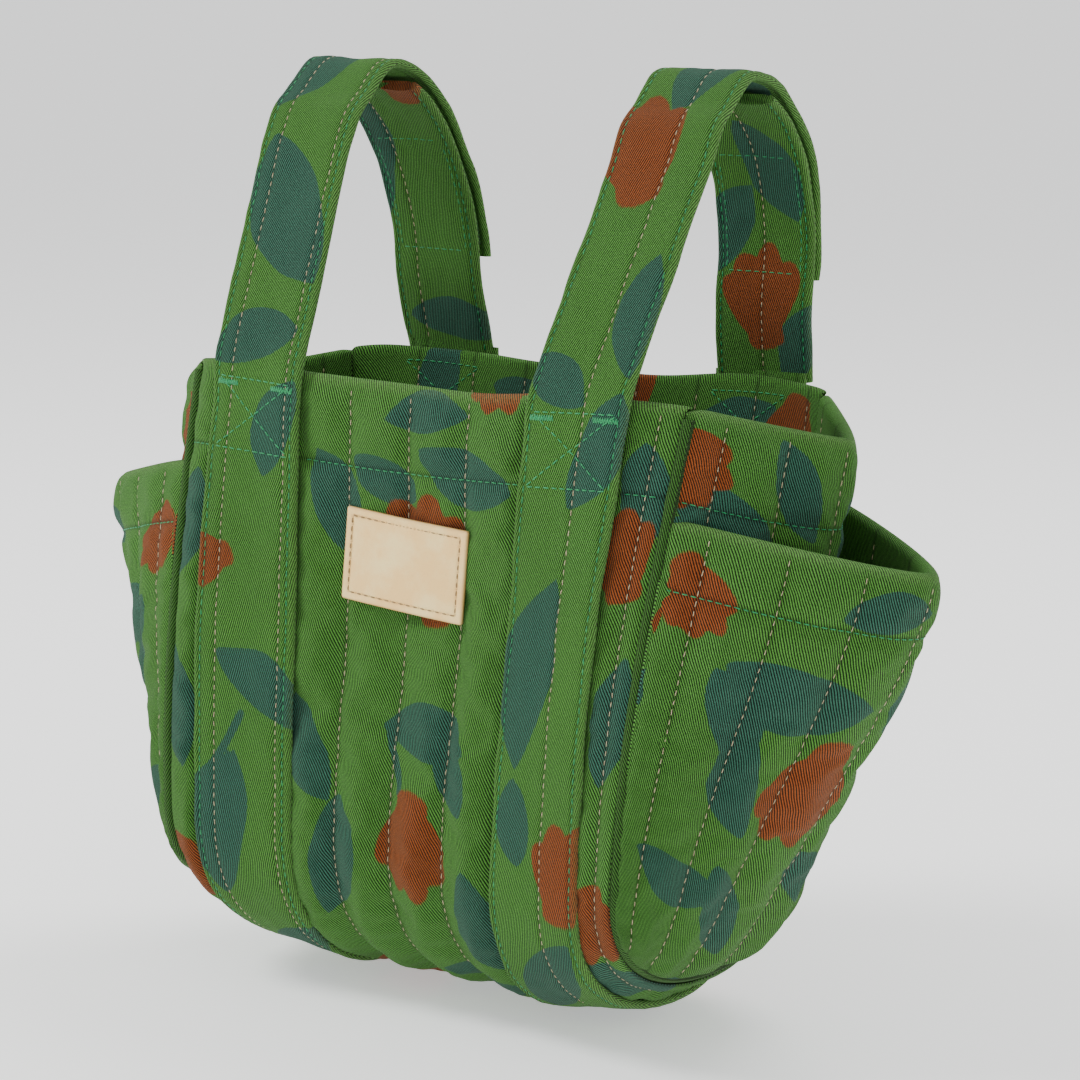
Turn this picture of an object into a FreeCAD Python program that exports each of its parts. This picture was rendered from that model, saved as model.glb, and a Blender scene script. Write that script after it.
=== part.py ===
"""Stroller diaper bag: a quilted tote with a rounded base, two gaping side pockets and two straps
that run from the free end over the handlebar, down the front, under the base and up the back.

Frame: +X to the viewer's right, -Y the labelled front, +Z up. The origin is on the axis of the
handlebar that the strap loops hang from, midway between the two loops. Millimetres.
"""
import FreeCAD
import Part
import Sketcher

import math
import os

V = FreeCAD.Vector
ROT = FreeCAD.Rotation

# Driving dimensions. Drops are measured down from the handlebar's axis, spreads sideways from
# the middle plane, and depths front or back from the handlebar's axis.
SIZES = {
    "bar_radius": 19.5,
    "strap_width": 42,
    "strap_thick": 3.4,
    "loop_spread": 80,
    "strap_spread": 72,
    "front_rim_depth": 60,
    "front_rim_drop": 83,
    "back_rim_depth": 64,
    "back_rim_drop": 87,
    "front_belly": 75,
    "back_belly": 50,
    "belly_drop": 255,
    "base_drop": 313,
    "seam_spread": 110,
    "seam_taper": 10,
    "front_seam_depth": 51,
    "back_seam_depth": 51,
    "front_seam_belly": 80,
    "back_seam_belly": 48,
    "seam_base_drop": 299,
    "centre_dent": 7,
    "fold_bulge": 39,
    "fold_droop": 12,
    "pocket_bulge": 79,
    "pocket_droop": 18,
    "pocket_rim_drop": 122,
    "cloth": 1.2,
    "wadding": 2.4,
    "lining": 0.8,
    "ply_gap": 0.3,
    "patch_thick": 0.8,
    "patch_width": 36,
    "patch_gap": 0.05,
    "loop_top": 31.5,
    "loop_top_depth": 8,
    "loop_back_depth": 65,
    "flap_end_drop": 46,
    "bar_contact_end": 124,
    "tab_reach": 16,
    "tab_spacing": 6.2,
    "tab_offset": 2,
    "flap_gap": 0.5,
    "rim_gap": 2.2,
    "label_width": 55,
    "label_height": 35,
    "label_thick": 1.6,
    "label_corner": 1.5,
    "label_offset": 3,
    "label_drop": 149,
    "label_tilt": 4,
    "tack_length": 9,
    "tack_height": 2.2,
    "tack_thick": 0.9,
    "tack_offset": 13,
}

doc = FreeCAD.newDocument("diaper_bag")
sheet = doc.addObject("Spreadsheet::Sheet", "Sizes")
for row, (alias, value) in enumerate(SIZES.items(), start=1):
    sheet.set(f"A{row}", alias)
    sheet.set(f"B{row}", str(value))
    sheet.setAlias(f"B{row}", alias)
doc.recompute()

NODES = []


def size(alias):
    """A driving dimension, read from the sheet."""
    return float(sheet.get(alias))


def keep(obj, label):
    """Marks a document object as a finished sub-part with that name."""
    obj.Label = label
    NODES.append(obj)
    return obj


def bound(kind, name, **expressions):
    """A parametric object whose properties follow the sheet."""
    obj = doc.addObject(kind, name)
    for prop, expression in expressions.items():
        obj.setExpression(prop, expression)
    return obj


# ---------------------------------------------------------------- the bag's form

WALL_SHARE = 0.62  # share of a half profile's parameter that is wall, the rest is rounded base
BASE_POWER = 2.2  # superellipse power of the rounded base
STRAP_U = size("strap_spread") / size("seam_spread")


def half_profile(share, rim, belly, rim_drop, base_drop, dent=0.0):
    """(depth, height) on a line from the rim, share 0, down the wall to the base's middle, share 1."""
    belly_drop = size("belly_drop") - (size("base_drop") - base_drop) * 0.25
    if share < WALL_SHARE:
        h = share / WALL_SHARE
        depth = rim + (belly - rim) * math.sin(h * math.pi / 2)
        depth -= dent * math.sin(h * math.pi) ** 2
        return depth, -(rim_drop + h * (belly_drop - rim_drop))
    turn = (share - WALL_SHARE) / (1 - WALL_SHARE) * math.pi / 2
    depth = belly * max(math.cos(turn), 0) ** (2 / BASE_POWER)
    rise = math.sin(turn) ** (2 / BASE_POWER)
    return depth, -(belly_drop + rise * (base_drop - belly_drop))


def profile(u, s):
    """(y, z) of the outer wall on the line u across the bag, at s from the front rim to the back rim."""
    front = s < 0.5
    share = 2 * s if front else 2 - 2 * s
    side = "front" if front else "back"
    drop = size(side + "_rim_drop")
    rim, belly = size(side + "_rim_depth"), size(side + "_belly")
    dent = size("centre_dent") if front else size("centre_dent") / 3
    base = size("base_drop")
    centre = half_profile(share, rim - 3, belly - 6, drop + 3, base + 1, dent)
    strap = half_profile(share, rim, belly, drop, base)
    seam_rim, seam_belly = size(side + "_seam_depth"), size(side + "_seam_belly")
    seam = half_profile(share, seam_rim, seam_belly, drop + 1, size("seam_base_drop"))
    found = []
    for c, m, e in zip(centre, strap, seam):
        # c + b u^2 + d u^4 passes through all three lines
        k = STRAP_U**2
        d = ((m - c) / k - (e - c)) / (k - 1)
        b = e - c - d
        found.append(c + b * u**2 + d * u**4)
    return (-found[0] if front else found[0]), found[1]


def seam_x(s):
    """Half the wrap panel's width at s: it narrows towards the base."""
    share = 2 * s if s < 0.5 else 2 - 2 * s
    return size("seam_spread") - size("seam_taper") * math.sin(min(share, 1) * math.pi / 2)


def wrap_point(u, s, inward):
    """A point of the wrap panel, moved inward across its thickness in the plane of its profile."""
    step = 1e-3
    y0, z0 = profile(u, max(s - step, 0))
    y1, z1 = profile(u, min(s + step, 1))
    y, z = profile(u, s)
    length = math.hypot(y1 - y0, z1 - z0)
    ny, nz = -(z1 - z0) / length, (y1 - y0) / length
    return V(u * seam_x(s), y + ny * inward, z + nz * inward)


def bulge_shape(w, t, sharp):
    """1 on the fold, 0 on the seams: a creased fold at the top that rounds off towards the base."""
    power = sharp + 0.3 * t
    return 1 - (w * w + 0.0012) ** (power / 2) / (1 + 0.0012) ** (power / 2)


CORNER = 0.36  # profile parameter where a gusset's upright edge turns into its rounded foot


def seam_point(s):
    """The seam between the wrap panel and a gusset, on the right-hand side."""
    y, z = profile(1, s)
    return V(seam_x(s), y, z)


class Gusset:
    """The form of a side panel or of a side pocket, both caught in the wrap panel's seam."""

    def __init__(self, top, bulge, droop, sharp, fade, fade_power):
        self.top = top
        self.bulge = bulge
        self.droop = droop
        self.sharp = sharp
        self.fade = fade
        self.fade_power = fade_power

    def seam_patch(self, k, t):
        """A smooth patch inside the U of the seam: k from the front to the back, t from the rim down."""
        s = self.top + (CORNER - self.top) * t
        foot_s = CORNER + (1 - 2 * CORNER) * k
        rim = seam_point(self.top) * (1 - k) + seam_point(1 - self.top) * k
        across = seam_point(s) * (1 - k) + seam_point(1 - s) * k
        down = rim * (1 - t) + seam_point(foot_s) * t
        foot = seam_point(CORNER) * (1 - k) + seam_point(1 - CORNER) * k
        return across + down - rim * (1 - t) - foot * t

    def point(self, side, w, t, inward):
        """A point at w from the front seam, -1, to the back seam, 1, and at t from the rim down."""
        base = self.seam_patch((w + 1) / 2, t)
        shape = bulge_shape(w, t, self.sharp)
        x = base.x + self.bulge * max(1 - t**self.fade, 0) ** self.fade_power * shape - inward
        return V(side * x, base.y, base.z - self.droop * (1 - t) ** 2 * shape)


def grid(point, us, vs):
    return [[point(a, b) for b in vs] for a in us]


def steps(low, high, count):
    return [low + (high - low) * i / (count - 1) for i in range(count)]


def sheet_solid(outer, inner):
    """A closed solid between two grids of points: a curved sheet with its edges closed."""
    faces = []
    for points in (outer, inner):
        surface = Part.BSplineSurface()
        surface.interpolate(points)
        faces.append(surface.toShape())
    rims = [Part.makeRuledSurface(a, b) for a, b in zip(faces[0].Edges, faces[1].Edges)]
    shell = Part.Shell([f for part in (*faces, *rims) for f in part.Faces])
    shell.sewShape()
    solid = Part.Solid(shell)
    if solid.Volume < 0:
        solid.reverse()
    return solid


def cloth_node(label, outer, inner):
    obj = doc.addObject("Part::Feature", label)
    obj.Shape = sheet_solid(outer, inner)
    return keep(obj, label)


def plies():
    """(name, outer face, inner face) of the three layers of a quilted panel, measured inward."""
    gap = size("ply_gap")
    shell = size("cloth")
    wad = shell + gap + size("wadding")
    return [
        ("shell", 0.0, shell),
        ("wadding", shell + gap, wad),
        ("lining", wad + gap, wad + gap + size("lining")),
    ]


PANEL_THICK = plies()[-1][2]


def wrap_panel():
    """Front, base and back, quilted in one piece."""
    edge = 1 - (PANEL_THICK + 2 * size("ply_gap")) / (size("seam_spread") - size("seam_taper"))
    us, ss = steps(-edge, edge, 15), steps(0, 1, 45)
    for name, out, back in plies():
        faces = [grid(lambda u, s, d=d: wrap_point(u, s, d), us, ss) for d in (out, back)]
        cloth_node("body_wrap_" + name, *faces)


def side_panels():
    """The two rounded side panels, folded outward down the middle."""
    form = Gusset(0.0, size("fold_bulge"), size("fold_droop"), 1.15, 1.7, 1.0)
    gusset_layers("side", form, plies())


def gusset_layers(name, form, layers):
    """Left and right copies of each layer of a side panel or side pocket."""
    ws, ts = steps(-1, 1, 31), steps(0, 1, 17)
    for hand, side in (("left", -1), ("right", 1)):
        for ply, out, back in layers:
            faces = [grid(lambda w, t, d=d: form.point(side, w, t, d), ws, ts) for d in (out, back)]
            cloth_node(f"{hand}_{name}_{ply}", *faces)


def pocket_top():
    """The profile parameter of the pocket's rim on the front seam."""
    low, high = 0.0, 0.3
    for _ in range(40):
        middle = (low + high) / 2
        if -profile(1, middle)[1] < size("pocket_rim_drop"):
            low = middle
        else:
            high = middle
    return low


def side_pockets():
    """The two outer side pockets, cut wider than the side panels so that they gape."""
    gap, lining = size("ply_gap"), size("lining")
    shell = size("cloth") + size("wadding")
    total = shell + gap + lining
    form = Gusset(
        pocket_top(), size("pocket_bulge") - total, size("pocket_droop"), 1.45, 1.5, 1.15
    )
    outside = -total - gap
    layers = (
        ("shell", outside, outside + shell),
        ("lining", outside + total - lining, outside + total),
    )
    gusset_layers("pocket", form, layers)


# ---------------------------------------------------------------- the straps

THICK = size("strap_thick")
BAR = size("bar_radius")
BAND_GAP = size("ply_gap")
PATCH_ROWS = 16  # points of the flap's middle line that the patches cover
LOOP_POWER = 1.85  # superellipse power of the loop's back: a little flatter than an ellipse


def strap_bands():
    """The sewn length of each strap: down the front, under the base and up the back."""
    half = size("strap_width") / 2 / size("seam_spread")
    for name, side in (("left", -1), ("right", 1)):
        us = steps(side * STRAP_U - half, side * STRAP_U + half, 5)
        faces = [
            grid(lambda u, s, d=d: wrap_point(u, s, d), us, steps(0, 1, 45))
            for d in (-BAND_GAP - THICK, -BAND_GAP)
        ]
        cloth_node(f"{name}_strap_band", *faces)


def rim_point(side):
    """(y, z) of a strap's middle line where it leaves the front or back rim."""
    sign = -1 if side == "front" else 1
    depth = size(side + "_rim_depth") + BAND_GAP + THICK / 2
    return sign * depth, -size(side + "_rim_drop") + size("rim_gap")


def bezier(a, b, c, d, count):
    """Points along a cubic curve from a to d, without the last one."""
    found = []
    for i in range(count):
        t = i / count
        parts = ((1 - t) ** 3, 3 * t * (1 - t) ** 2, 3 * t * t * (1 - t), t**3)
        found.append(tuple(sum(k * p[n] for k, p in zip(parts, (a, b, c, d))) for n in (0, 1)))
    return found


def back_curve(inward, low, high):
    """The loop's back, from the crest at 90 degrees down to the flap's end at 0, or further in."""
    cy, cz = size("loop_top_depth"), -size("flap_end_drop")
    a, b = size("loop_back_depth") - cy, size("loop_top") - cz
    line = []
    for turn in steps(high, low, 40):
        c, s = math.cos(math.radians(turn)), math.sin(math.radians(turn))
        line.append((cy + a * max(c, 0) ** (2 / LOOP_POWER), cz + b * max(s, 0) ** (2 / LOOP_POWER)))
    return [(y + ny * inward, z + nz * inward) for (y, z), (ny, nz) in zip(line, normals(line))]


def front_line():
    """The strap's middle line from the front rim, over the handlebar, to the flap's free end."""
    start = rim_point("front")
    middle = BAR + THICK / 2
    far = math.hypot(*start)
    contact = math.degrees(math.atan2(start[1], start[0])) % 360
    contact -= math.degrees(math.acos(middle / far))
    leave = size("bar_contact_end")
    line = [tuple(a + (b - a) * k / 20 for a, b in zip(start, on_bar(contact))) for k in range(20)]
    line += [on_bar(angle) for angle in steps(contact, leave, 8)][:-1]
    lift, (top_y, top_z) = on_bar(leave), (size("loop_top_depth"), size("loop_top"))
    turn = math.radians(leave - 90)
    handle = (top_z - lift[1]) * 0.6
    knee = (lift[0] + handle * math.cos(turn), lift[1] + handle * math.sin(turn))
    line += bezier(lift, knee, (top_y - handle, top_z), (top_y, top_z), 12)
    return line + back_curve(0, 0, 90), len(line)


def on_bar(angle):
    """(y, z) of the middle of a strap that lies on the handlebar."""
    middle = BAR + THICK / 2
    return middle * math.cos(math.radians(angle)), middle * math.sin(math.radians(angle))


def back_line():
    """The tab's middle line, from the back rim up inside the flap to its end over the handlebar."""
    rim = rim_point("back")
    curl = back_curve(-size("tab_spacing"), 0, 90 - size("tab_reach"))[::-1]
    foot = curl[0]
    third = (foot[1] - rim[1]) / 3
    lean = (rim[0] + (foot[0] - rim[0]) * 0.45, rim[1] + third)
    return bezier(rim, lean, (foot[0], foot[1] - third), foot, 12) + curl


def normals(line):
    """Unit normals along a line of (y, z) points, to the left of its direction."""
    found = []
    for i in range(len(line)):
        (y0, z0), (y1, z1) = line[max(i - 1, 0)], line[min(i + 1, len(line) - 1)]
        length = math.hypot(y1 - y0, z1 - z0)
        found.append((-(z1 - z0) / length, (y1 - y0) / length))
    return found


def strap_piece(label, line, centre_x, width, low, high):
    """A strip that follows a middle line, between two distances to the left of it."""
    rows = list(zip(line, normals(line)))
    faces = []
    for d in (high, low):
        faces.append(
            [
                [V(centre_x(z) + across * width / 2, y + ny * d, z + nz * d) for (y, z), (ny, nz) in rows]
                for across in (-1, 0, 1)
            ]
        )
    cloth_node(label, *faces)


def drift(side, rim_spread, rim_z):
    """The strap's centre as a function of height: it spreads outward on its way to the handlebar."""
    spread = size("loop_spread") - rim_spread

    def centre(z):
        return side * (rim_spread + spread * min(max((z - rim_z) / -rim_z, 0), 1))

    return centre


def trim_start(line, distance):
    """The line without its first stretch of that length."""
    (y0, z0), (y1, z1) = line[:2]
    k = distance / math.hypot(y1 - y0, z1 - z0)
    return [(y0 + (y1 - y0) * k, z0 + (z1 - z0) * k)] + line[1:]


def straps():
    """Each strap's moving stretches: the riser over the bar, the closing flap and the back tab."""
    front, crest = front_line()
    back = back_line()
    half, gap = THICK / 2, size("flap_gap")
    patch = size("patch_thick")
    for name, side in (("left", -1), ("right", 1)):
        riser_x = drift(side, size("strap_spread"), front[0][1])
        tab_x = drift(side, size("strap_spread") + size("tab_offset"), back[0][1])
        width = size("strap_width")
        strap_piece(f"{name}_strap_riser", front[: crest + 1], riser_x, width, -half, half)
        flap = trim_start(front[crest:], gap)
        strap_piece(f"{name}_closing_flap", flap, riser_x, width, -half, half)
        strap_piece(f"{name}_back_tab", back, tab_x, width, -half, half)
        # the hook half lies on the flap and the loop half on the tab, and they face each other
        closure = front[-PATCH_ROWS - 2 : -2]
        patch_width = size("patch_width")
        hook = -half - size("patch_gap")
        strap_piece(f"{name}_hook_patch", closure, riser_x, patch_width, hook - patch, hook)
        loop = -size("tab_spacing") + half + size("patch_gap")
        strap_piece(f"{name}_loop_patch", closure, riser_x, patch_width, loop, loop + patch)


# ---------------------------------------------------------------- the label and the bar tacks


def label_back():
    """The y of the frontmost cloth behind the label, so that the stiff label clears it."""
    half_w, half_h = size("label_width") / 2, size("label_height") / 2
    depth = 0.0
    for s in steps(0, 0.5, 200):
        for edge in (-1, 0, 1):
            x = -size("label_offset") + edge * half_w
            y, z = profile(x / size("seam_spread"), s)
            if abs(z + size("label_drop")) <= half_h:
                depth = min(depth, y)
    return depth - 3 * size("ply_gap")


def leather_label():
    """The stitched leather label: a padded rectangle with eased corners."""
    body = doc.addObject("PartDesign::Body", "LabelBody")
    sketch = body.newObject("Sketcher::SketchObject", "LabelOutline")
    plane = next(f for f in body.Origin.OriginFeatures if f.Role == "XZ_Plane")
    sketch.AttachmentSupport = [(plane, "")]
    sketch.MapMode = "FlatFace"
    corners = [V(-1, -1, 0), V(1, -1, 0), V(1, 1, 0), V(-1, 1, 0)]
    for a, b in zip(corners, corners[1:] + corners[:1]):
        sketch.addGeometry(Part.LineSegment(a * 10, b * 10), False)
    for i in range(4):
        sketch.addConstraint(Sketcher.Constraint("Coincident", i, 2, (i + 1) % 4, 1))
    for i, way in enumerate(("Horizontal", "Vertical", "Horizontal", "Vertical")):
        sketch.addConstraint(Sketcher.Constraint(way, i))
    sketch.addConstraint(Sketcher.Constraint("Symmetric", 0, 1, 2, 1, -1, 1))
    wide = sketch.addConstraint(Sketcher.Constraint("DistanceX", 0, 1, 0, 2, 20))
    high = sketch.addConstraint(Sketcher.Constraint("DistanceY", 1, 1, 1, 2, 20))
    sketch.setExpression(f"Constraints[{wide}]", "Sizes.label_width")
    sketch.setExpression(f"Constraints[{high}]", "Sizes.label_height")
    doc.recompute()
    pad = body.newObject("PartDesign::Pad", "LabelPad")
    pad.Profile = sketch
    pad.setExpression("Length", "Sizes.label_thick")
    doc.recompute()
    upright = [
        f"Edge{i}"
        for i, e in enumerate(pad.Shape.Edges, start=1)
        if abs(e.Vertexes[0].Y - e.Vertexes[-1].Y) > size("label_thick") / 2
    ]
    eased = body.newObject("PartDesign::Fillet", "LabelCorners")
    eased.Base = (pad, upright)
    eased.setExpression("Radius", "Sizes.label_corner")
    body.Tip = eased
    doc.recompute()
    box = body.Shape.BoundBox
    place = V(-size("label_offset"), label_back() - box.YMax, -size("label_drop"))
    body.Placement = FreeCAD.Placement(place, ROT(V(0, 1, 0), size("label_tilt")))
    keep(body, "leather_label")


def bar_tacks(side):
    """Dense tacks of thread at the upper corners of the box stitching, as separate solids."""
    sign = -1 if side == "front" else 1
    s_tack = 0.012 if side == "front" else 0.988
    clear = (0.35, 0.9) if side == "front" else (0.8, 1.5)  # inner tack, outer tack
    pieces = []
    for strap in (-1, 1):
        for edge in (-1, 1):
            across = strap * size("strap_spread") + edge * size("tack_offset")
            u = across / size("seam_spread")
            at = wrap_point(u, s_tack, -BAND_GAP - THICK - clear[strap == edge])
            box = bound(
                "Part::Box",
                f"{side}_tack_{len(pieces)}",
                Length="Sizes.tack_length",
                Width="Sizes.tack_thick",
                Height="Sizes.tack_height",
            )
            back = size("tack_thick") if side == "front" else 0
            box.Placement.Base = at - V(size("tack_length") / 2, back - 0.1 * sign, 0)
            pieces.append(box)
    group = doc.addObject("Part::Compound", f"{side}_tacks")
    group.Links = pieces
    keep(group, f"{side}_bar_tacks")


# ---------------------------------------------------------------- build, test and write


def main():
    wrap_panel()
    side_panels()
    side_pockets()
    strap_bands()
    straps()
    leather_label()
    bar_tacks("front")
    bar_tacks("back")
    doc.recompute()
    for obj in doc.Objects:
        if {"Invalid", "Error"} & set(obj.State):
            raise SystemExit(f"{obj.Label} failed: {obj.State}")
    os.makedirs("parts", exist_ok=True)
    for obj in NODES:
        shape = obj.Shape
        if shape.isNull() or not shape.isValid() or not shape.Solids:
            raise SystemExit(f"{obj.Label} is not a valid solid")
        shape.exportStep(f"parts/{obj.Label}.step")
        print(f"{obj.Label}: {len(shape.Solids)} solids, {shape.Volume / 1000:.1f} cm3")
    for side in ("front", "back"):
        print(side, "rim: strap's middle line at y, z", [round(v, 2) for v in rim_point(side)])


main()
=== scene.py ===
"""The looks of the stroller diaper bag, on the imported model's frame.

Forms are worked out in millimetres with the same formulas as the CAD, and every mesh is made in
metres. Cloth coordinates are millimetres across and down the cloth, from the middle of its rim.
"""
import math
from collections import namedtuple

import bmesh
import bpy
import numpy as np
from mathutils import Matrix, Vector
from mathutils.bvhtree import BVHTree


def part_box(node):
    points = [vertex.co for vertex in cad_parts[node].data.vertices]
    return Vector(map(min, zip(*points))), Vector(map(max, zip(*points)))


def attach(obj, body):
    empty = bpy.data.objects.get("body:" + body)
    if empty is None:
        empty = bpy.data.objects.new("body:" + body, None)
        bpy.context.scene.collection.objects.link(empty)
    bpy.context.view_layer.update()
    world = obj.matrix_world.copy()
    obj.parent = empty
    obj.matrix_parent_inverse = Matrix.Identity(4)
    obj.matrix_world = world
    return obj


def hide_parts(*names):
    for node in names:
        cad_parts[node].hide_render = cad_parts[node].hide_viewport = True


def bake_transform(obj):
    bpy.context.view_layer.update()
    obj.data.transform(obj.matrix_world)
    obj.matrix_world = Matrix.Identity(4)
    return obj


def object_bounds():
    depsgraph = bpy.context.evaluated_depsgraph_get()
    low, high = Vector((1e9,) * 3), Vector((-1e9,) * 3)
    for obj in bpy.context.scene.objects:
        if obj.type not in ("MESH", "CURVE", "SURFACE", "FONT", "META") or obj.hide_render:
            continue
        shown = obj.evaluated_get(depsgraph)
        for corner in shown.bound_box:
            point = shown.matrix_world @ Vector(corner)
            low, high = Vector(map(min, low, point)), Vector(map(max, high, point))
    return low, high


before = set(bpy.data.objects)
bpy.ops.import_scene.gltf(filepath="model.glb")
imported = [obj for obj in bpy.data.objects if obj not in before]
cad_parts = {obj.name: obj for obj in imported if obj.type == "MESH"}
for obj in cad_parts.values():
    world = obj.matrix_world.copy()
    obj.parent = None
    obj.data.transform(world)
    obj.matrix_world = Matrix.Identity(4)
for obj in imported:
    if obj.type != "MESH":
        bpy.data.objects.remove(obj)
CAD_BOUNDS = [[float(x) for x in corner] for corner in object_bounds()]

MM = 0.001

# ---------------------------------------------------------------- driving dimensions, mm

BAR = 19.5
STRAP_WIDTH = 42
STRAP_THICK = 3.4
RIM_GAP = 2.2
LOOP_SPREAD = 80
STRAP_SPREAD = 72
SEAM_SPREAD = 110
SEAM_TAPER = 10
BELLY_DROP = 255
BASE_DROP = 313
SEAM_BASE_DROP = 299
CENTRE_DENT = 7
RIM_DEPTH = {"front": 60, "back": 64}
RIM_DROP = {"front": 83, "back": 87}
BELLY = {"front": 75, "back": 50}
SEAM_RIM = {"front": 51, "back": 51}
SEAM_BELLY = {"front": 80, "back": 48}
POCKET_RIM_DROP = 122
LOOP_TOP = 31.5
LOOP_TOP_DEPTH = 8
LOOP_BACK_DEPTH = 65
FLAP_END_DROP = 46
BAR_CONTACT_END = 124
TAB_REACH = 16
TAB_SPACING = 6.2
LOOP_POWER = 1.85
WALL_SHARE = 0.62
BASE_POWER = 2.2
CORNER = 0.36
STRAP_U = STRAP_SPREAD / SEAM_SPREAD

CHANNEL = 26.5  # spacing of the quilting lines
CHANNEL_START = -4  # the quilting line nearest the middle
RIM_ROLL = 2.9  # radius of the folded edge at every rim
HEM = 30  # depth of the hem at the mouth
POCKET_HEM = 21
STRAP_STITCH = 3.0  # topstitching's distance from a strap's edge

QUILT_STEP = 3.1  # spacing of a quilted panel's rows
LINE_STEP = 2.5  # spacing of the points on a line of stitching
SIDES = (("left", -1), ("right", 1))


def unit(v):
    return v / np.maximum(np.linalg.norm(v, axis=-1, keepdims=True), 1e-9)


def bell(x, width):
    """1 at 0, fading to 0 over about twice the width."""
    return np.exp(-((x / width) ** 2))


def gap_to(values, marks):
    """How far each value is from the nearest mark."""
    return np.min(np.abs(values[..., None] - np.asarray(marks, float)), axis=-1)


def pair(a, b):
    """Two numbers or arrays as arrays of floats of one shape."""
    return np.broadcast_arrays(np.asarray(a, float), np.asarray(b, float))


def length_table(points):
    """Running length along a line of points."""
    gaps = np.linalg.norm(np.diff(points, axis=0), axis=1)
    return np.concatenate([[0], np.cumsum(gaps)])


def along_line(at, run, line):
    """Points of a line at some running lengths."""
    return np.stack([np.interp(at, run, line[:, i]) for i in range(line.shape[1])], axis=-1)


# ---------------------------------------------------------------- the bag's form


def half_profile(share, rim, belly, rim_drop, base_drop, dent=0.0):
    """Depth and height from the rim, share 0, down the wall to the base's middle, share 1."""
    belly_drop = BELLY_DROP - (BASE_DROP - base_drop) * 0.25
    h = np.clip(share / WALL_SHARE, 0, 1)
    wall = rim + (belly - rim) * np.sin(h * math.pi / 2) - dent * np.sin(h * math.pi) ** 2
    wall_z = -(rim_drop + h * (belly_drop - rim_drop))
    turn = np.clip((share - WALL_SHARE) / (1 - WALL_SHARE), 0, 1) * math.pi / 2
    foot = belly * np.clip(np.cos(turn), 0, 1) ** (2 / BASE_POWER)
    foot_z = -(belly_drop + np.sin(turn) ** (2 / BASE_POWER) * (base_drop - belly_drop))
    on_wall = share < WALL_SHARE
    return np.where(on_wall, wall, foot), np.where(on_wall, wall_z, foot_z)


def profile(u, s):
    """y and z of the outer wall at u across the bag and s from the front rim to the back rim."""
    u, s = pair(u, s)
    found = []
    for side, dent in (("front", CENTRE_DENT), ("back", CENTRE_DENT / 3)):
        share = np.clip(2 * s if side == "front" else 2 - 2 * s, 0, 1)
        rim, belly, drop = RIM_DEPTH[side], BELLY[side], RIM_DROP[side]
        centre = half_profile(share, rim - 3, belly - 6, drop + 3, BASE_DROP + 1, dent)
        strap = half_profile(share, rim, belly, drop, BASE_DROP)
        seam = half_profile(share, SEAM_RIM[side], SEAM_BELLY[side], drop + 1, SEAM_BASE_DROP)
        # an even curve across the bag through the middle, the straps and the seams
        k = STRAP_U**2
        for c, m, e in zip(centre, strap, seam):
            d = ((m - c) / k - (e - c)) / (k - 1)
            found.append(c + (e - c - d) * u**2 + d * u**4)
    front_y, front_z, back_y, back_z = found
    return np.where(s < 0.5, -front_y, back_y), np.where(s < 0.5, front_z, back_z)


def seam_x(s):
    share = np.clip(np.where(s < 0.5, 2 * s, 2 - 2 * s), 0, 1)
    return SEAM_SPREAD - SEAM_TAPER * np.sin(share * math.pi / 2)


def wrap_point(u, s, inward=0.0):
    """Points of the wrap panel, moved inward in the plane of its profile."""
    u, s = pair(u, s)
    step = 1e-3
    y0, z0 = profile(u, np.maximum(s - step, 0))
    y1, z1 = profile(u, np.minimum(s + step, 1))
    y, z = profile(u, s)
    length = np.hypot(y1 - y0, z1 - z0)
    ny, nz = -(z1 - z0) / length, (y1 - y0) / length
    return np.stack([u * seam_x(s), y + ny * inward, z + nz * inward], axis=-1)


def seam_point(s):
    return np.stack([seam_x(s), *profile(np.ones_like(s), s)], axis=-1)


S_FINE = np.linspace(0, 1, 801)
WRAP_RUN = length_table(wrap_point(0.45, S_FINE))
WRAP_LENGTH = float(WRAP_RUN[-1])


def s_at(run):
    """Profile parameter at a running length from the front rim."""
    return np.interp(run, WRAP_RUN, S_FINE)


def pocket_top():
    z = -profile(np.ones_like(S_FINE), S_FINE)[1]
    half = S_FINE < 0.4
    return float(np.interp(POCKET_RIM_DROP, z[half], S_FINE[half]))


ACROSS = np.linspace(-1, 1, 401)
DOWN = np.linspace(0, 1, 300)


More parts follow.
